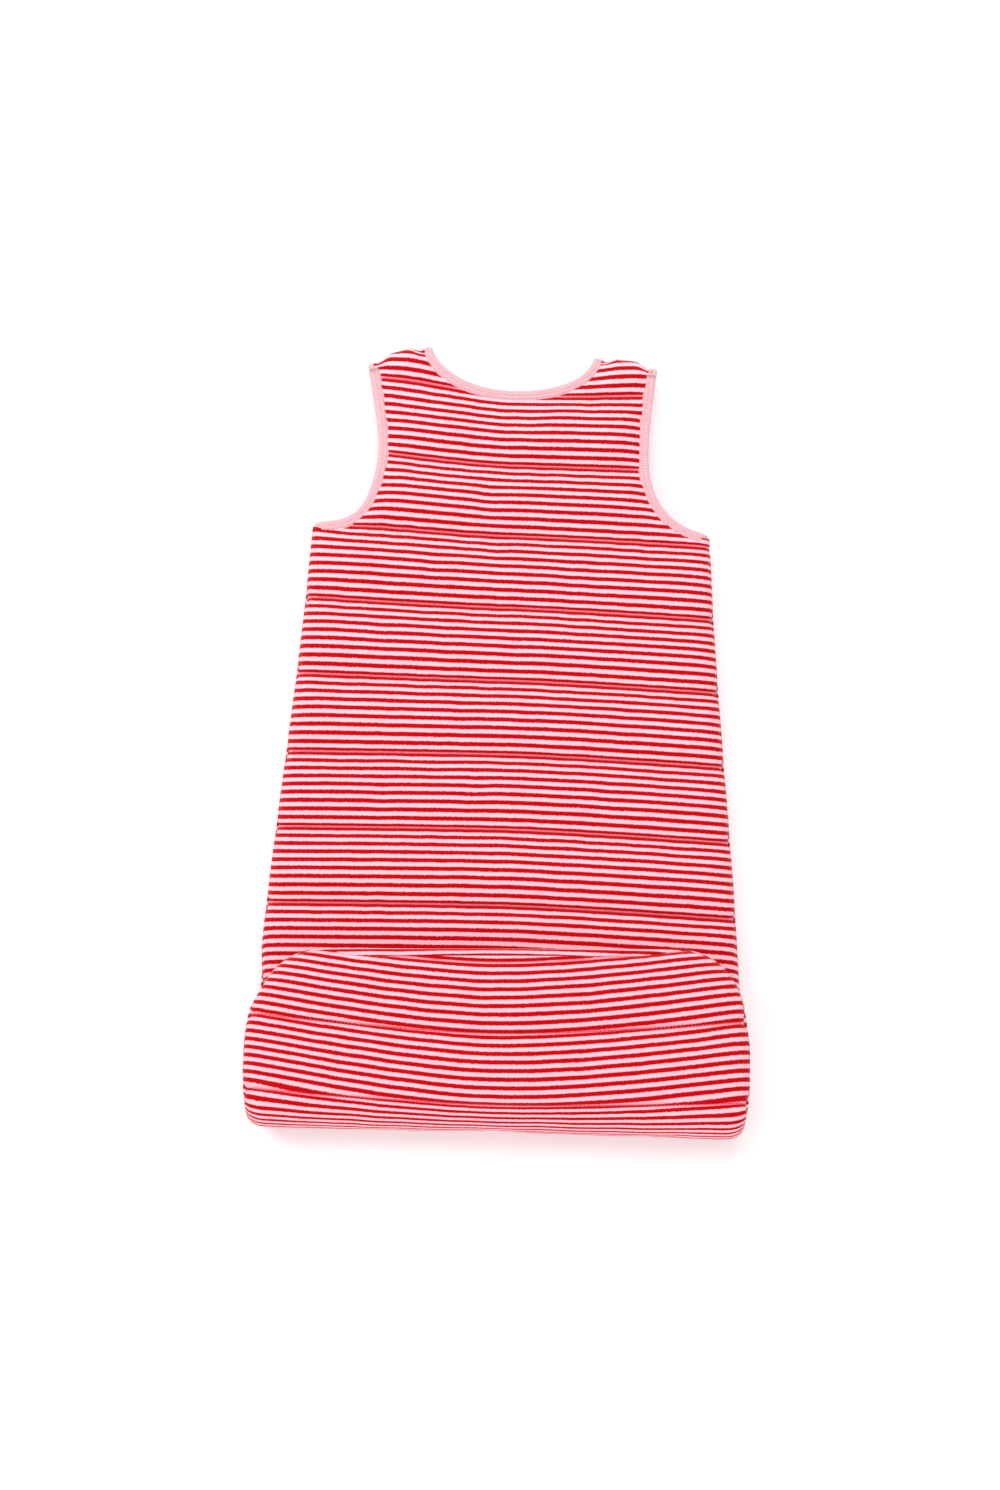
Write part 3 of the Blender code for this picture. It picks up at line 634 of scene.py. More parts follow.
def inflate(panel, low, high):
    """Simulates the outer cloth between its rows of stitches, and keeps how it moves as panel.puffed."""
    step, per_chamber = 5.6 * MM, 10
    xs = np.arange(-HEM, HEM + step / 2, step)
    pairs = zip(panel.grooves, panel.grooves[1:])
    rows = np.concatenate([np.linspace(top, bottom, per_chamber, endpoint=False) for top, bottom in pairs])
    rows = rows[(rows > low) & (rows < high)]
    gx, gr = np.meshgrid(xs, rows)
    x, row = gx.ravel(), gr.ravel()
    rest = panel.place(x, row, "outer")
    s = row + panel.bow(x, row)
    here = np.column_stack([x, s])
    at_seams, at_bound = panel.gaps(here)
    inside = within(here, np.vstack([body_edge(panel), mirror(body_edge(panel))]))
    held = (np.min(at_seams, axis=0) < 5 * MM) | (at_bound < 7 * MM) | ~inside
    held |= (panel.from_stitches(row) < 0.5 * MM) | (row < low + 6 * MM)
    if panel.back:
        held |= from_fold(s) < 16 * MM
    else:
        held |= (slot_distance(x, s) < 6 * MM) & (s > FOLD_Y)
    quads = cells(*gx.shape)
    quads = quads[inside[quads].all(1)]
    away = rest - panel.place(x, row, "inner")
    a, b, c, _ = rest[quads.T]
    if (np.cross(b - a, c - a) * away[quads[:, 0]]).sum() < 0:
        quads = quads[:, ::-1]
    mesh = bpy.data.meshes.new("simulated")
    mesh.from_pydata([tuple(p) for p in rest], [], [tuple(q) for q in quads])
    cloth = linked("simulated", mesh)
    scene = bpy.context.scene
    pins = cloth.vertex_groups.new(name="held")
    pins.add([int(k) for k in np.flatnonzero(held)], 1.0, "REPLACE")
    modifier = cloth.modifiers.new("cloth", "CLOTH")
    for key, value in CLOTH.items():
        setattr(modifier.settings, key, value)
    modifier.settings.effector_weights.gravity = 0
    modifier.collision_settings.use_collision = False
    modifier.collision_settings.use_self_collision = False
    modifier.point_cache.frame_start, modifier.point_cache.frame_end = 1, FRAMES
    for number in range(1, FRAMES + 1):
        scene.frame_set(number)
    got = cloth.evaluated_get(bpy.context.evaluated_depsgraph_get()).to_mesh()
    after = np.empty(len(x) * 3, np.float32)
    got.vertices.foreach_get("co", after)
    scene.frame_set(1)
    bpy.data.objects.remove(cloth)
    moved = after.reshape(-1, 3) - rest
    moved *= np.minimum(1, MOST_MOVED / np.maximum(np.linalg.norm(moved, axis=1), 1e-9))[:, None]
    moved[:, :2] *= MOVED_ALONG
    moved[held] = 0
    field = moved.reshape(*gx.shape, 3)
    for axis in (0, 1):
        field = 0.5 * field + 0.25 * (np.roll(field, 1, axis) + np.roll(field, -1, axis))
    field[held.reshape(gx.shape)] = 0

    def puffed(px, prow):
        u = np.clip((px - xs[0]) / step, 0, len(xs) - 1.001)
        v = np.interp(-prow, -rows, np.arange(len(rows))).clip(0, len(rows) - 1.001)
        a, b = u.astype(int), v.astype(int)
        fu, fv = smooth(u - a)[:, None], (v - b)[:, None]
        near_row, far_row = (field[c, a] * (1 - fu) + field[c, a + 1] * fu for c in (b, b + 1))
        made = near_row * (1 - fv) + far_row * fv
        return np.where(((prow > rows.min()) & (prow < rows.max()))[:, None], made, 0)

    panel.puffed = puffed


def body_edge(panel):
    """The whole panel's edge on the +X side in x and s, from the neck to the toe."""
    neck, *rest = edges_of(panel.drop)
    return np.concatenate([[(0, neck[0, 1])], neck, *rest, [(HEM, FOLD_Y - 1 * MM)], toe_line()])


inflate(BACK, -180 * MM, 300 * MM)
inflate(FRONT, TOE_S - 5 * MM, 226 * MM)


def outline_of(panel, part, step):
    return (body_outline if part == "body" else foot_outline)(panel, step)


@functools.cache
def domain(panel, part, fine):
    """The flat points and triangles that the layers of one part are made on."""
    step = (3.0 if fine else 8.0) * MM
    outline = outline_of(panel, part, step)
    offsets = [o * MM for o in (FINE if fine else COARSE)]
    return filled(outline, panel.rows(outline[:, 1].min(), outline[:, 1].max(), offsets), step)


def cloth_uv(panel, flat):
    """Where the flat points are on the cloth itself, so that its stripes keep their pitch on the swells."""
    return np.column_stack([flat[:, 0], panel.stripes(*flat.T) * PITCH])


def skin(name, panel, part, layer, thickness, finish, fine=True):
    flat, triangles = domain(panel, part, fine)
    outer = panel.place(*flat.T, layer)
    inside = panel.place(*flat.T, "inner" if layer == "outer" else "outer")
    uv = cloth_uv(panel, flat)
    triangles = outward(outer, triangles, inside)
    if panel.back and part == "foot" and layer == "outer":
        outer, triangles, uv = with_toe_wrap(panel, flat, outer, triangles, uv)
    inner = outer - vertex_normals(outer, triangles) * thickness
    # Weight of the painted groove shade: 1 on each row of stitches, fading out within about 1.5 mm of it.
    crease = np.zeros(len(outer))
    crease[: len(flat)] = np.exp(-((panel.from_stitches(flat[:, 1]) / (1.5 * MM)) ** 2))
    return closed_sheet(name, outer, inner, triangles, finish, uv, crease=np.concatenate([crease, crease]))


def with_toe_wrap(panel, flat, outer, triangles, uv, steps=6):
    """The back's cloth carried on round the foot's edge to the seam on top."""
    real = panel.real(flat)
    at_split = np.abs(real - SPLIT) < 1e-5
    follow = {a: b for a, b in rim_of(triangles) if not (at_split[a] and at_split[b])}
    start = next(a for a in follow if a not in set(follow.values()))
    chain = [start]
    while chain[-1] in follow:
        chain.append(follow[chain[-1]])
    chain = np.array(chain)
    line = np.column_stack([flat[chain, 0], real[chain]])
    out = normals(line)
    if out[len(out) // 2, 1] > 0:
        out = -out
    made, made_uv, faces = [outer], [uv], [triangles]
    last = chain
    count = len(outer)
    reach = seam_inset(*line.T)
    roll = seam_roll(line[:, 1])
    edge = seam_depth(line[:, 1]) + SEAM_GAP
    before, arc = outer[chain], np.zeros(len(chain))
    seam_line = FRONT.straightened(line - out * reach[:, None])
    target = FRONT.place(*seam_line.T, "outer", -0.3 * MM)
    rolled = lambda inset: folded(*(line - out * inset[:, None]).T, edge * (1 - rounded(inset, roll)))
    missed, bulge = target - rolled(reach), outer[chain] - folded(*line.T, edge)
    for k in range(1, steps + 1):
        points = rolled(reach * (k / steps) ** 1.6) + bulge * (1 - k / steps) + missed * (k / steps) ** 2
        arc = arc + np.linalg.norm(points - before, axis=1)
        before = points
        cloth = line + out * arc[:, None]
        made.append(points)
        made_uv.append(np.column_stack([cloth[:, 0], uv[chain, 1] - out[:, 1] * arc]))
        new = count + np.arange(len(chain))
        count += len(chain)
        a, b, c, d = last[:-1], last[1:], new[1:], new[:-1]
        faces += [np.column_stack([b, a, d]), np.column_stack([b, d, c])]
        last = new
    return np.vstack(made), np.vstack(faces), np.vstack(made_uv)


def pad(name, panel, part, finish):
    flat, triangles = domain(panel, part, False)
    outer, inner = panel.place(*flat.T, "pad_outer"), panel.place(*flat.T, "pad_inner")
    triangles = outward(outer, triangles, inner)
    return closed_sheet(name, outer, inner, triangles, finish, cloth_uv(panel, flat))


def swept(name, path, across, section, finish, closed=False):
    """A band with a constant section along a path. across is where the section's first axis points."""
    along = unit(np.roll(path, -1, 0) - np.roll(path, 1, 0) if closed else np.gradient(path, axis=0))
    across = unit(across - (across * along).sum(1)[:, None] * along)
    up = np.cross(along, across)
    a, b = np.asarray(section).T
    points = path[:, None] + across[:, None] * a[None, :, None] + up[:, None] * b[None, :, None]
    n, m = len(path), len(section)
    faces = []
    for i in range(n if closed else n - 1):
        j = (i + 1) % n
        faces += [(i * m + k, i * m + (k + 1) % m, j * m + (k + 1) % m, j * m + k) for k in range(m)]
    if not closed:
        faces += [tuple(range(m))[::-1], tuple((n - 1) * m + k for k in range(m))]
    far = lengths(path)
    turn = lengths(np.vstack([section, section[:1]]))[:-1]
    uv = np.stack(np.broadcast_arrays(far[:, None], turn[None, :]), 2).reshape(-1, 2)
    return new_object(name, points.reshape(-1, 3), faces, finish, uv), up


def threads(name, starts, ends, ups, radius, finish, sides=5):
    """Many short stitches in one mesh, each a plump capsule from a start to an end."""
    d = unit(ends - starts)
    side = unit(np.cross(d, ups))
    up = np.cross(side, d)
    share = np.array([0.0, 0.2, 0.5, 0.8, 1.0])
    wide = np.array([0.35, 0.95, 1.0, 0.95, 0.35]) * radius
    high = np.array([-0.8, 0.1, 0.35, 0.1, -0.8]) * radius
    turn = 2 * math.pi * np.arange(sides) / sides
    centre = starts[:, None] + (ends - starts)[:, None] * share[:, None] + up[:, None] * high[:, None]
    spoke = side[:, None] * np.cos(turn)[:, None] + up[:, None] * np.sin(turn)[:, None]
    points = centre[:, :, None] + spoke[:, None] * wide[:, None, None]
    uv = np.stack(np.broadcast_arrays(share[:, None] * 2 * MM, turn * radius), 2)
    each = len(share) * sides
    one = [
        (r * sides + k, r * sides + (k + 1) % sides, (r + 1) * sides + (k + 1) % sides, (r + 1) * sides + k)
        for r in range(len(share) - 1)
        for k in range(sides)
    ]
    one += [tuple(range(sides))[::-1], tuple(range(each - sides, each))]
    faces = [tuple(base + k for k in face) for base in range(0, each * len(starts), each) for face in one]
    return new_object(name, points.reshape(-1, 3), faces, finish, np.tile(uv.reshape(-1, 2), (len(starts), 1)))


# ---- materials ----


class Nodes:
    """A short way to write a material's nodes."""

    def __init__(self, name):
        self.material = bpy.data.materials.new(name)
        self.material.use_nodes = True
        self.tree = self.material.node_tree
        self.shader = self.tree.nodes["Principled BSDF"]

    def add(self, kind, **settings):
        node = self.tree.nodes.new(kind)
        for key, value in settings.items():
            setattr(node, key, value)
        return node

    def put(self, socket, value):
        if isinstance(value, bpy.types.NodeSocket):
            self.tree.links.new(value, socket)
        else:
            socket.default_value = value

    def math(self, operation, a, b=0.0, c=0.0):
        node = self.add("ShaderNodeMath", operation=operation)
        for socket, value in zip(node.inputs, (a, b, c)):
            self.put(socket, value)
        return node.outputs[0]

    def span(self, value, low, high, to_low=0.0, to_high=1.0, smooth=False):
        node = self.add("ShaderNodeMapRange", interpolation_type="SMOOTHSTEP" if smooth else "LINEAR")
        for socket, given in zip(node.inputs, (value, low, high, to_low, to_high)):
            self.put(socket, given)
        return node.outputs[0]

    def mix(self, share, a, b, blend="MIX"):
        node = self.add("ShaderNodeMix", data_type="RGBA", blend_type=blend)
        self.put(node.inputs["Factor"], share)
        self.put(node.inputs[6], a)
        self.put(node.inputs[7], b)
        return node.outputs[2]

    def tone(self, value, low, high, first, second):
        """From one display colour to another as a value goes from low to high."""
        return self.mix(self.span(value, low, high), srgb(*first), srgb(*second))

    def wave(self, value, pitch):
        return self.math("SINE", self.math("MULTIPLY", value, 2 * math.pi / pitch))

    def uv(self, name="cloth"):
        node = self.add("ShaderNodeUVMap", uv_map=name)
        split = self.add("ShaderNodeSeparateXYZ")
        self.tree.links.new(node.outputs[0], split.inputs[0])
        return node.outputs[0], split.outputs[0], split.outputs[1]

    def place(self):
        return self.add("ShaderNodeTexCoord").outputs["Object"]

    def noise(self, vector, scale, detail=2.0, rough=0.5):
        node = self.add("ShaderNodeTexNoise")
        self.put(node.inputs["Vector"], vector)
        self.put(node.inputs["Scale"], scale)
        self.put(node.inputs["Detail"], detail)
        self.put(node.inputs["Roughness"], rough)
        return node.outputs[0]

    def stretched(self, vector, x, y, z=1.0):
        node = self.add("ShaderNodeMapping")
        self.put(node.inputs["Vector"], vector)
        node.inputs["Scale"].default_value = (x, y, z)
        return node.outputs[0]

    def bump(self, height, strength, distance, under=None):
        node = self.add("ShaderNodeBump")
        node.inputs["Strength"].default_value = strength
        node.inputs["Distance"].default_value = distance
        self.put(node.inputs["Height"], height)
        if under is not None:
            self.put(node.inputs["Normal"], under)
        return node.outputs[0]

    def finish(self, colour, roughness, normal, **fixed):
        """roughness is what it follows, that value's low and high, and the roughness at each."""
        given = {"Base Color": colour, "Roughness": self.span(*roughness), "Normal": normal, **fixed}
        for key, value in given.items():
            self.put(self.shader.inputs[key.replace("_", " ")], value)
        return self.material


def srgb(*display):
    """A display colour, 0 to 255, as the linear one that a shader takes."""
    shares = (c / 255 for c in display)
    return (*(c / 12.92 if c <= 0.04 else ((c + 0.055) / 1.055) ** 2.4 for c in shares), 1.0)


def velour():
    """Knitted velour with woven-in stripes. Its pile blurs their edges and stands at odds in small tufts. Its
    pale stripes carry painted shade: pinker towards the foot end, and deep pink beside the rows of stitches.
    """
    n = Nodes("striped_velour_pile")
    uv, _, v = n.uv()
    tufts = n.noise(uv, 520.0, 2.0, 0.6)
    pile = n.noise(uv, 2300.0, 2.0, 0.6)
    drift = n.noise(uv, 40.0)
    shifted = v
    for cause, reach in ((tufts, 1.1 * MM), (drift, 0.7 * MM), (pile, 0.8 * MM)):
        shifted = n.math("MULTIPLY_ADD", n.math("SUBTRACT", cause, 0.5), reach, shifted)
    cycle = n.math("FRACT", n.math("MULTIPLY_ADD", shifted, 1 / PITCH, 0.5))
    off = n.math("MULTIPLY", n.math("ABSOLUTE", n.math("SUBTRACT", cycle, 0.5)), PITCH)
    pale = n.span(off, 1.36 * MM, 1.80 * MM, smooth=True)
    rosy = n.tone(drift, 0.35, 0.7, (252, 208, 217), (250, 199, 210))
    deep = n.tone(pile, 0.3, 0.75, (180, 0, 8), (216, 2, 16))
    # Painted shade: the pale stripes grow pinker along the cloth from the neck towards the foot end, standing
    # in for light that falls off.
    rosy = n.mix(n.span(v, 0.05, 0.6, 0.0, 0.75), rosy, srgb(252, 192, 204))
    # Painted shade: beside each row of stitches the pale stripes turn deep pink, standing in for the shaded
    # light in the grooves.
    _, crease, _ = n.uv("crease")
    rosy = n.mix(n.math("MULTIPLY", crease, 0.75), rosy, srgb(250, 100, 120))
    colour = n.mix(pale, deep, rosy)
    grey = n.add("ShaderNodeCombineColor")
    for socket in grey.inputs[:3]:
        n.put(socket, n.span(pile, 0.25, 0.8, 0.90, 1.05))
    colour = n.mix(1.0, colour, grey.outputs[0], "MULTIPLY")
    relief = n.bump(pile, 0.45, 0.25 * MM, n.bump(tufts, 0.25, 0.5 * MM))
    sheen = {"Sheen_Weight": 0.06, "Sheen_Roughness": 0.5, "Specular_IOR_Level": 0.04}
    return n.finish(colour, (pile, 0.2, 0.8, 0.75, 0.95), relief, **sheen)


def jersey():
    """Plain knit: columns of small stitches."""
    n = Nodes("jersey_knit")
    wale = 0.9 * MM
    uv, x, v = n.uv()
    column = n.wave(x, wale)
    lean = n.math("MULTIPLY_ADD", n.math("ABSOLUTE", column), 0.35 * wale, v)
    course = n.wave(lean, 0.75 * wale)
    knit = n.math("MULTIPLY_ADD", course, 0.5, n.math("MULTIPLY", column, 0.8))
    fuzz = n.noise(uv, 1500.0)
    tone = n.tone(n.math("MULTIPLY_ADD", fuzz, 1.4, knit), -0.8, 1.8, (244, 220, 226), (253, 238, 241))
    relief = n.bump(n.math("MULTIPLY_ADD", fuzz, 0.6, knit), 0.35, 0.2 * MM)
    return n.finish(tone, (fuzz, 0.2, 0.8, 0.8, 0.95), relief, Sheen_Weight=0.1, Specular_IOR_Level=0.2)


def rib():
    """1 x 1 rib: ridges across the binding, with small stitches along each."""
    n = Nodes("rib_knit")
    uv, far, turn = n.uv()
    ridge = n.wave(far, 1.3 * MM)
    stitch = n.wave(turn, 0.8 * MM)
    knit = n.math("MULTIPLY_ADD", n.math("MULTIPLY", stitch, n.span(ridge, -0.2, 0.8)), 0.35, ridge)
    fuzz = n.noise(uv, 1800.0)
    broad = n.noise(uv, 60.0)
    tone = n.tone(n.math("MULTIPLY_ADD", fuzz, 1.2, knit), -0.7, 1.3, (224, 150, 162), (252, 208, 214))
    tone = n.mix(n.span(broad, 0.4, 0.75, 0.0, 0.35), tone, srgb(246, 192, 202))
    relief = n.bump(n.math("MULTIPLY_ADD", fuzz, 0.5, knit), 0.7, 0.3 * MM)
    return n.finish(tone, (fuzz, 0.2, 0.8, 0.8, 0.95), relief, Sheen_Weight=0.12, Specular_IOR_Level=0.2)


def wadding():
    n = Nodes("polyester_fibres")
    uv, _, _ = n.uv()
    fibre = n.noise(n.stretched(uv, 1.0, 6.0), 420.0, 4.0, 0.65)
    clump = n.noise(uv, 70.0, 3.0)
    tone = n.tone(fibre, 0.3, 0.7, (222, 222, 224), (250, 250, 250))
    relief = n.bump(fibre, 0.6, 0.8 * MM, n.bump(clump, 0.5, 2 * MM))
    return n.finish(tone, (clump, 0.2, 0.8, 0.85, 1.0), relief, Specular_IOR_Level=0.1)


def thread(name, light, dark):
    """Two-ply sewing thread."""
    n = Nodes(name)
    uv, far, turn = n.uv()
    ply = n.wave(n.math("MULTIPLY_ADD", far, 1.6, turn), 0.5 * MM)
    fuzz = n.noise(uv, 3000.0)
    tone = n.tone(n.math("ADD", ply, fuzz), -0.9, 1.6, dark, light)
    return n.finish(tone, (fuzz, 0.0, 1.0, 0.5, 0.7), n.bump(ply, 0.4, 0.08 * MM), Specular_IOR_Level=0.35)


def woven(name, light, dark, pitch):
    """Plain weave: tapes and labels."""
    n = Nodes(name)
    uv, x, v = n.uv()
    weave = n.math("MULTIPLY", n.wave(x, pitch), n.wave(v, pitch))
    fuzz = n.noise(uv, 1200.0)
    tone = n.tone(n.math("MULTIPLY_ADD", fuzz, 0.8, weave), -0.8, 1.6, dark, light)
    return n.finish(tone, (fuzz, 0.2, 0.8, 0.6, 0.8), n.bump(weave, 0.4, 0.12 * MM), Sheen_Weight=0.05)


def metal():
    n = Nodes("plated_metal")
    at = n.place()
    wear = n.noise(at, 350.0, 4.0, 0.6)
    brushed = n.noise(n.stretched(at, 1.0, 14.0, 1.0), 500.0, 3.0)
    tone = n.tone(wear, 0.35, 0.75, (214, 214, 218), (176, 176, 182))
    return n.finish(tone, (brushed, 0.2, 0.8, 0.22, 0.38), n.bump(brushed, 0.12, 0.05 * MM), Metallic=1.0)


def coil_plastic():
    n = Nodes("coil_nylon")
    cloud = n.noise(n.place(), 300.0, 3.0)
    tone = n.tone(cloud, 0.3, 0.7, (246, 196, 208), (252, 212, 220))
    return n.finish(tone, (cloud, 0.2, 0.8, 0.28, 0.42), n.bump(cloud, 0.1, 0.05 * MM), Specular_IOR_Level=0.5)


def floor_finish():
    n = Nodes("studio_floor")
    fine = n.noise(n.place(), 60.0, 3.0)
    tone = n.mix(n.span(fine, 0.3, 0.7), (0.90, 0.90, 0.905, 1), (0.915, 0.915, 0.92, 1))
    glow = {"Specular_IOR_Level": 0.1, "Emission_Color": (1, 1, 1, 1), "Emission_Strength": 0.15}
    return n.finish(tone, (fine, 0.2, 0.8, 0.75, 0.85), n.bump(fine, 0.02, 0.2 * MM), **glow)


VELOUR, RIB, WADDING, METAL, COIL = velour(), rib(), wadding(), metal(), coil_plastic()
JERSEY = jersey()
THREAD = thread("pink_thread", (242, 104, 124), (206, 34, 56))
NEEDLE_THREAD = thread("binding_thread", (252, 214, 221), (196, 128, 142))
TAPE = woven("tape_weave", (250, 205, 214), (232, 172, 184), 0.55 * MM)
LABEL = woven("label_weave", (252, 252, 250), (226, 226, 224), 0.4 * MM)

# ---- the panels ----


def bends(obj, part, slot, *nodes):
    """Bakes a piece's place into its mesh, and hides the CAD nodes it stands in for."""
    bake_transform(obj)
    if nodes:
        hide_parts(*nodes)


def half_area(obj):
    """The area of one face of a closed sheet."""
    made = bmesh.new()
    made.from_mesh(obj.data)
    area = sum(f.calc_area() for f in made.faces) / 2
    made.free()
    return area


QUILTED = 1.06  # how much longer the velour is cut, for the quilting to take up

for panel, side in ((BACK, "back"), (FRONT, "front")):
    for part in ("body", "foot"):
        bases = [side, f"fold_{side}"] if part == "body" else [f"foot_{side}"]
        outer = skin(f"{side}_velour_{part}", panel, part, "outer", SKIN, VELOUR)
        filling = pad(f"{side}_pad_{part}", panel, part, WADDING)
        inside = skin(f"{side}_jersey_{part}", panel, part, "inner", LINING, JERSEY, fine=False)
        bends(outer, part, "striped_velour", *(f"{base}_shell" for base in bases))
        bends(filling, part, "polyester_wadding", *(f"{base}_wadding" for base in bases))
        bends(inside, part, "jersey_lining", *(f"{base}_lining" for base in bases))
        for sheet, longer in ((outer, QUILTED), (inside, 1)):
            half_area(sheet)

# ---- rows of quilting stitches ----


def stitch_rows(name, panel, part):
    """Every row of quilting on one part, as slanted stitches that lie in the groove."""
    outline = outline_of(panel, part, 3 * MM)
    rim = np.vstack([outline, outline[:1]])
    step, long, slant, radius = 2.7 * MM, 1.7 * MM, 0.28 * MM, 0.36 * MM
    xs = np.arange(-HEM, HEM, step)
    flat = np.array([(x, row) for row in panel.grooves for x in xs])
    flat = flat[within(flat, outline)]
    flat = flat[nearest(flat, rim)[0] > 3.5 * MM]
    real = panel.real(flat)
    if panel.back:
        hidden = from_fold(real) < 12 * MM
    else:
        hidden = (from_fold(real) > 0) & (np.abs(flat[:, 0]) < SLOT + 3 * MM) & (real > SLOT_END - 3 * MM)
    flat = flat[~hidden]
    x, row = flat.T
    starts = panel.place(x, row + slant, "outer", 0.02 * MM)
    ends = panel.place(x + long, row - slant, "outer", 0.02 * MM)
    middle = panel.place(x + long / 2, row, "outer")
    further = panel.place(x + long / 2, row, "outer", 1 * MM)
    return threads(name, starts, ends, further - middle, radius, THREAD)


for panel, side in ((BACK, "back"), (FRONT, "front")):
    for part in ("body", "foot"):
        bends(stitch_rows(f"{side}_quilting_{part}", panel, part), part, "rib_binding")

# ---- bindings ----

TURN_REACH = (BACK_LEVEL - FRONT_LEVEL) / 2
BAND_THICK = 2.1 * MM  # half the band's thickness
NEEDLES = (-0.2 * MM, -3.1 * MM)


def band_height(a):
    """Half the band's thickness at a place across it: its two rows of stitches sink in."""
    round_edge = BAND_THICK * (1 - np.abs(a / (BAND / 2)) ** 3.0) ** (1 / 3.0)
    sunk = sum(0.6 * MM * np.exp(-(((a - needle) / (0.5 * MM)) ** 2)) for needle in NEEDLES)
    return round_edge - sunk


def band_section():
    a = BAND / 2 * np.sin(np.linspace(math.pi / 2, -math.pi / 2, 30)) * 0.9999
    b = band_height(a)
    top, low = np.column_stack([a, b]), np.column_stack([a[::-1], -b[::-1]])
    return np.vstack([top[:-1], low[:-1]])


def level(line, height):
    return np.column_stack([line, np.full(len(line), height)])


def turn_over(upper, lower, out_upper, out_lower, steps=14):
    """Half a turn at the last point of two lines, from the back's level to the front's."""
    path, across = [], []
    for i in range(1, steps):
        turn = math.pi * i / steps
        line, out = (upper, out_upper) if turn <= math.pi / 2 else (lower, out_lower)
        at = lengths(line)
        want = at[-1] - TURN_REACH * (1 - math.sin(turn))
        height = (BACK_LEVEL + FRONT_LEVEL) / 2 + TURN_REACH * math.cos(turn)
        path.append([*(np.interp(want, at, c) for c in line.T), height])
        across.append([np.interp(want, at, c) for c in out.T])
    return np.array(path), np.array(across)


def band_line(edge, start=0.0):
    """The middle of a band round an edge, and which way is out at each of its points."""
    fine = resampled(edge, 0.4 * MM)
    inside, out = aside(fine, BAND / 2), -normals(fine)
    at = lengths(inside)
    keep = (at >= start) & (at <= at[-1] - BAND_THICK)
    inside, out = inside[keep], out[keep]
    pick = np.unique(np.append(np.arange(0, len(inside), 3), len(inside) - 1))
    return inside[pick], out[pick]


def neck_path():
    back, back_out = band_line(neck_edge(BACK_DROP))
    front, front_out = band_line(neck_edge(FRONT_DROP))
    at_back, at_front = lengths(back), lengths(front)
    keep_back = at_back <= at_back[-1] - TURN_REACH
    keep_front = (at_front <= at_front[-1] - TURN_REACH) & (front[:, 0] > 1.2 * MM)
    one = level(back[keep_back], BACK_LEVEL)
    over, over_out = turn_over(back, front, back_out, front_out)
    two = level(front[keep_front][::-1], FRONT_LEVEL)
    path = np.vstack([one, over, two])
    across = np.vstack([back_out[keep_back], over_out, front_out[keep_front][::-1]])
    left, left_across = path[1:][::-1] * (-1, 1, 1), across[1:][::-1] * (-1, 1)
    return np.vstack([left, path]), np.vstack([left_across, across])


def armhole_path():
    line, out = band_line(armhole_edge(), BAND_THICK)
    at = lengths(line)
    keep = (at >= TURN_REACH) & (at <= at[-1] - TURN_REACH)
    back, front = level(line[keep], BACK_LEVEL), level(line[keep][::-1], FRONT_LEVEL)
    under, under_out = turn_over(line, line, out, out)
    over, over_out = turn_over(line[::-1], line[::-1], out[::-1], out[::-1])
    path = np.vstack([back, under, front, over[::-1]])
    return path, np.vstack([out[keep], under_out, out[keep][::-1], over_out[::-1]])


def band(name, path, across, closed, node):
    across = np.column_stack([across, np.zeros(len(across))])
    path = settled(path)
    made, up = swept(name, path, across, band_section(), RIB, closed)
    fixed(made, "rib_binding", node)
    at = lengths(path)
    side = unit(np.cross(up, np.gradient(path, axis=0)))
    pitch, long, radius = 2.9 * MM, 2.1 * MM, 0.24 * MM
    far = np.arange(3 * MM, at[-1] - 4 * MM, pitch)
    along = lambda line, where: np.column_stack([np.interp(where, at, c) for c in line.T])
    rows = [path + side * a + up * (band_height(np.array([a]))[0] + 0.05 * MM) for a in NEEDLES]
    starts, ends = (np.vstack([along(row, far + more) for row in rows]) for more in (0, long))
    ups = np.vstack([along(up, far)] * len(rows))
    sewn = threads(f"{name}_stitches", starts, ends, ups, radius, NEEDLE_THREAD)
    fixed(sewn, "rib_binding")
    half_area(made)


band("neck_rib", *neck_path(), False, "neck_binding")
arm, arm_out = armhole_path()
band("armhole_rib_right", arm, arm_out, True, "armhole_binding_right")
band("armhole_rib_left", arm[::-1] * (-1, 1, 1), arm_out[::-1] * (-1, 1), True, "armhole_binding_left")

# ---- seam allowances inside the bag ----


def allowance_section():
    """A flat strip with rounded edges, 7.4 by 2 mm."""
    turn = np.linspace(0, 2 * math.pi, 17)[:-1]
    a, b = np.cos(turn), np.sin(turn)
    return np.column_stack([np.sign(a) * np.abs(a) ** 0.5 * 3.7 * MM, np.sign(b) * np.abs(b) ** 0.7 * MM])


def allowance(name, flat, part, *nodes):
    """The overlocked edges of both panels along a seam. flat is in x and s."""
    flat = resampled(flat, 2 * MM)
    waved = seam_depth(flat[:, 1]) + 0.15 * MM * np.sin(lengths(flat) * 900)
    path = folded(*flat.T, waved)
    across = folded(*aside(flat, 1 * MM).T, waved) - path
    made, _ = swept(name, path, across, allowance_section(), JERSEY)
    if part:
        bends(made, part, "jersey_lining", *nodes)
    else:
        fixed(made, "jersey_lining", *nodes)


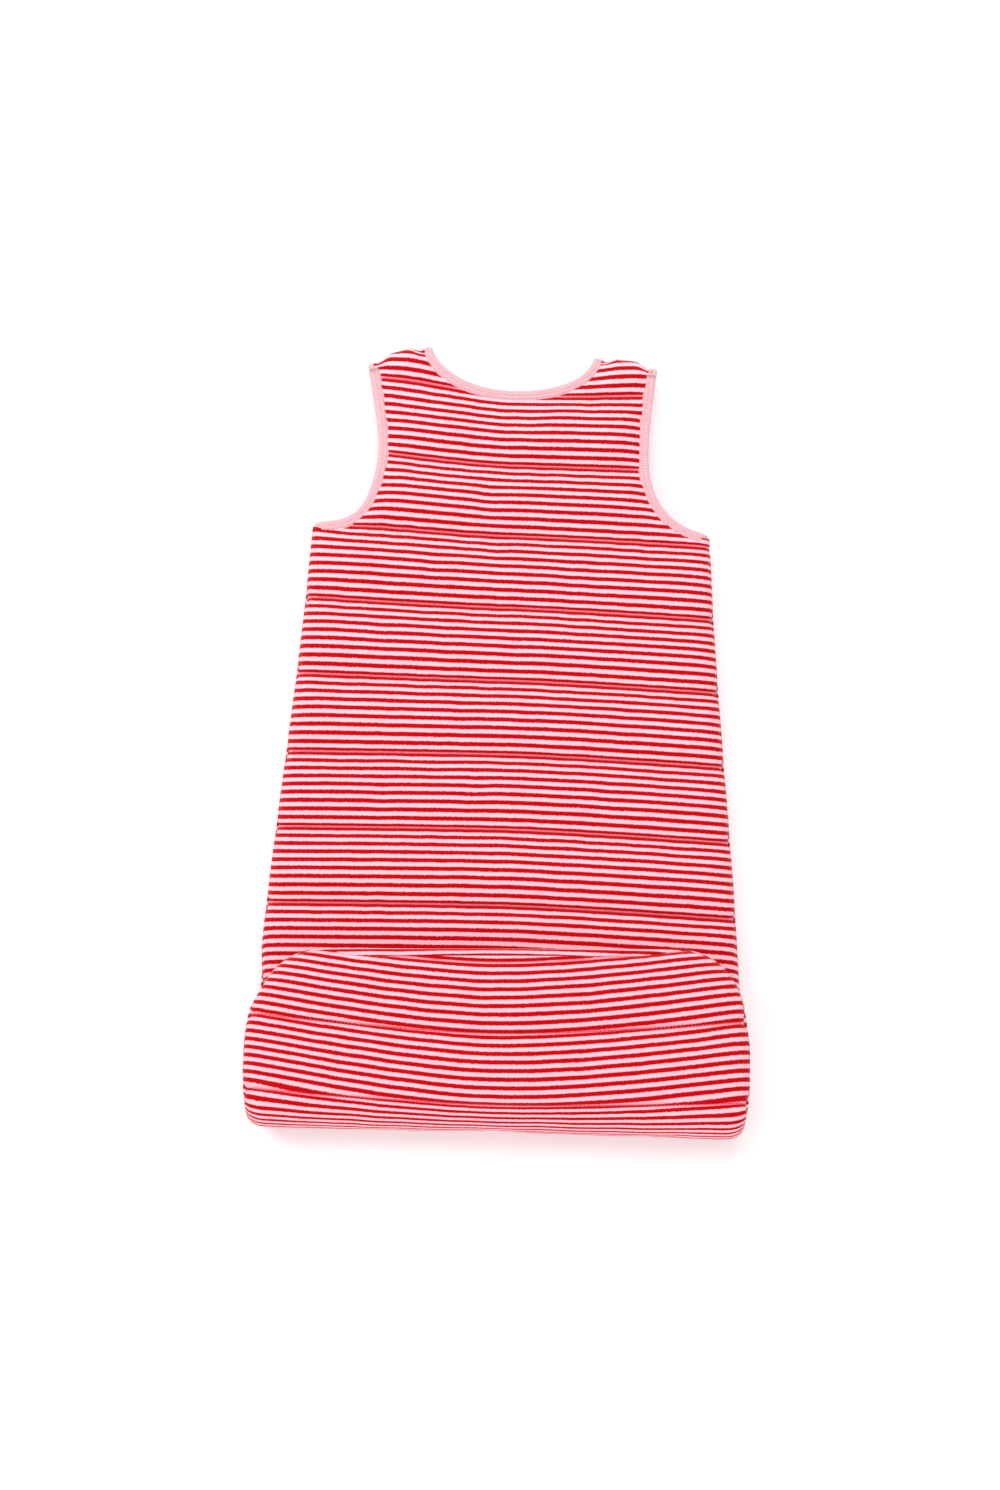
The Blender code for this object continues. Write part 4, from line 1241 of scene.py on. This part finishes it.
IN_SEAM = 5.2 * MM  # from the seam to the middle of its allowance
side_line = resampled(np.concatenate([side_edge(), [(HEM, SPLIT)]]), 2 * MM)[2:]
toe = toe_line()
toe_run = resampled(np.concatenate([[(HEM, SPLIT)], toe, mirror(toe)[1:], [(-HEM, SPLIT)]]), 2 * MM)
inner, outer = NECK_HALF + BAND + 1 * MM, SHOULDER_END - BAND - 1 * MM
for name, sign in (("right", 1), ("left", -1)):
    line = aside(side_line, IN_SEAM) * (sign, 1)
    allowance(f"side_allowance_{name}", line, "body", f"side_seam_{name}", f"fold_seam_{name}")
    line = np.array([(x, shoulder_y(x) - 5.0 * MM) for x in np.linspace(inner, outer, 8)]) * (sign, 1)
    allowance(f"shoulder_allowance_{name}", line, None, f"shoulder_seam_{name}")
allowance("toe_allowance", aside(toe_run, IN_SEAM), "foot", "toe_seam")

# ---- zip and labels ----


def cloth_for(node, name, finish, slot, step, edge, waves=0.0, ridge=None):
    """A flat cloth piece that fills its node's box, with rounded edges and a slight wave."""
    (x0, y0, z0), (x1, y1, z1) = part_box(node)

    def spread(low, high):
        even = np.linspace(low, high, max(4, round((high - low) / step)) + 1)
        return np.unique([*even, low + edge / 4, low + edge, high - edge / 4, high - edge])

    xs, ys = spread(x0, x1), spread(y0, y1)
    gx, gy = (k.ravel() for k in np.meshgrid(xs, ys))
    inward = np.minimum(np.minimum(gx - x0, x1 - gx), np.minimum(gy - y0, y1 - gy))
    half = (z1 - z0) / 2 * (0.3 + 0.7 * rounded(inward, edge, 2.0))
    middle = (z0 + z1) / 2 + waves * np.sin(gx * 130 + 1.0) * np.cos(gy * 90)
    if ridge is not None:
        half = half + ridge(gx)
    quads = cells(len(ys), len(xs))
    triangles = np.vstack([quads[:, :3], quads[:, [0, 2, 3]]])
    top, bottom = (np.column_stack([gx, gy, middle + side * half]) for side in (1, -1))
    made = closed_sheet(name, top, bottom, triangles, finish, np.column_stack([gx, gy]))
    fixed(made, slot, node, body=frame["nodes"][node]["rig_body"])


for name, sign in (("right", 1), ("left", -1)):
    sewn_on = lambda x, sign=sign: 0.12 * MM * np.exp(-(((sign * x - 3.4 * MM) / (0.8 * MM)) ** 2))
    cloth_for(f"zip_tape_{name}", f"tape_weave_{name}", TAPE, "zip_tape", 1.6 * MM, 0.4 * MM, ridge=sewn_on)
cloth_for("zip_guard", "guard_cloth", JERSEY, "jersey_lining", 3 * MM, 0.8 * MM, 0.05 * MM)
cloth_for("neck_label", "size_label", LABEL, "woven_label", 1.5 * MM, 0.5 * MM, 0.25 * MM)
cloth_for("care_label", "blank_label", LABEL, "woven_label", 2 * MM, 0.5 * MM, 0.25 * MM)
cloth_for("zip_garage", "zip_cover", VELOUR, "striped_velour", 1.5 * MM, 2.2 * MM)


def coil(name, sign, node):
    """One side of the zip's chain: a nylon coil whose heads hook into the other side's."""
    low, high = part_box(node)
    pitch, wire, round_steps = 1.25 * MM, 0.17 * MM, 8
    reach_closed, reach_open, high_half = 1.4 * MM, 0.62 * MM, 0.8 * MM
    turns = int((high.y - low.y - pitch) / pitch)
    t = np.arange(turns * round_steps) / round_steps
    y = low.y + pitch * (0.6 + t + (0.5 if sign < 0 else 0))
    closed = ramp(high.y - 2 * MM, high.y - 12 * MM, y)
    reach = reach_closed * closed + (1 - closed) * reach_open
    angle = 2 * math.pi * t
    outer_x = 2.4 * MM - wire
    x = sign * (outer_x - reach * (1 - np.cos(angle)) / 2)
    z = (low.z + high.z) / 2 + (high_half - wire) * np.sin(angle)
    path = np.column_stack([x, y, z])
    ring = 2 * math.pi * np.arange(5) / 5
    section = np.column_stack([wire * np.cos(ring), wire * np.sin(ring)])
    across = np.tile((0.0, 1.0, 0.0), (len(t), 1))
    fixed(swept(name, path, across, section, COIL)[0], "zip_coil", node)


coil("chain_right", 1, "zip_coil_right")
coil("chain_left", -1, "zip_coil_left")

for name in ("zip_slider", "zip_pull_tab", "zip_top_stop_left", "zip_top_stop_right", "zip_bottom_stop"):
    node = frame["nodes"][name]
    node.data.materials.clear()
    node.data.materials.append(METAL)
    bevel = node.modifiers.new("worn_edges", "BEVEL")
    bevel.width = 0.12 * MM
    bevel.segments = 2
    bevel.angle_limit = math.radians(40)

# ---- floor, light, camera ----


def build_stage():
    grid = bmesh.new()
    bmesh.ops.create_grid(grid, x_segments=24, y_segments=24, size=3.0)
    mesh = bpy.data.meshes.new("floor")
    grid.to_mesh(mesh)
    grid.free()
    mesh.materials.append(floor_finish())
    floor = linked("floor", mesh)
    floor.location.z = -0.3 * MM
    for name, place, size, power in (
        ("key", (-1.35, 0.25, 1.5), 0.7, 12.2),
        ("fill", (0.1, 1.5, 1.45), 1.6, 16.0),
        ("low", (0.15, -1.6, 0.8), 1.0, 6.0),
    ):
        data = bpy.data.lights.new(name, "AREA")
        data.shape = "DISK"
        data.size = size
        data.energy = power
        lamp = linked(name, data)
        lamp.location = place
        lamp.rotation_euler = (-Vector(place)).to_track_quat("-Z", "Y").to_euler()
    world = bpy.data.worlds.new("studio")
    world.use_nodes = True
    ground = world.node_tree.nodes["Background"]
    ground.inputs[0].default_value = (1, 1, 1, 1)
    ground.inputs[1].default_value = 0.76
    bpy.context.scene.world = world
    bpy.context.scene.view_settings.view_transform = "Standard"


def build_camera():
    tilt, roll = math.radians(15), math.radians(1.6)
    s, c = math.sin(tilt), math.cos(tilt)
    right = Vector((math.cos(roll), math.sin(roll) * c, math.sin(roll) * s))
    up = Vector((-math.sin(roll), math.cos(roll) * c, math.cos(roll) * s))
    back = Vector((0, -s, c))
    data = bpy.data.cameras.new("camera")
    data.lens = 64.44
    data.sensor_width = 36
    camera = linked("camera", data)
    turn = Matrix((right, up, back)).transposed().to_4x4()
    camera.matrix_world = Matrix.Translation(Vector((-0.004, -0.011, 0.012)) + back * 2.0) @ turn
    bpy.context.scene.camera = camera


build_stage()
build_camera()
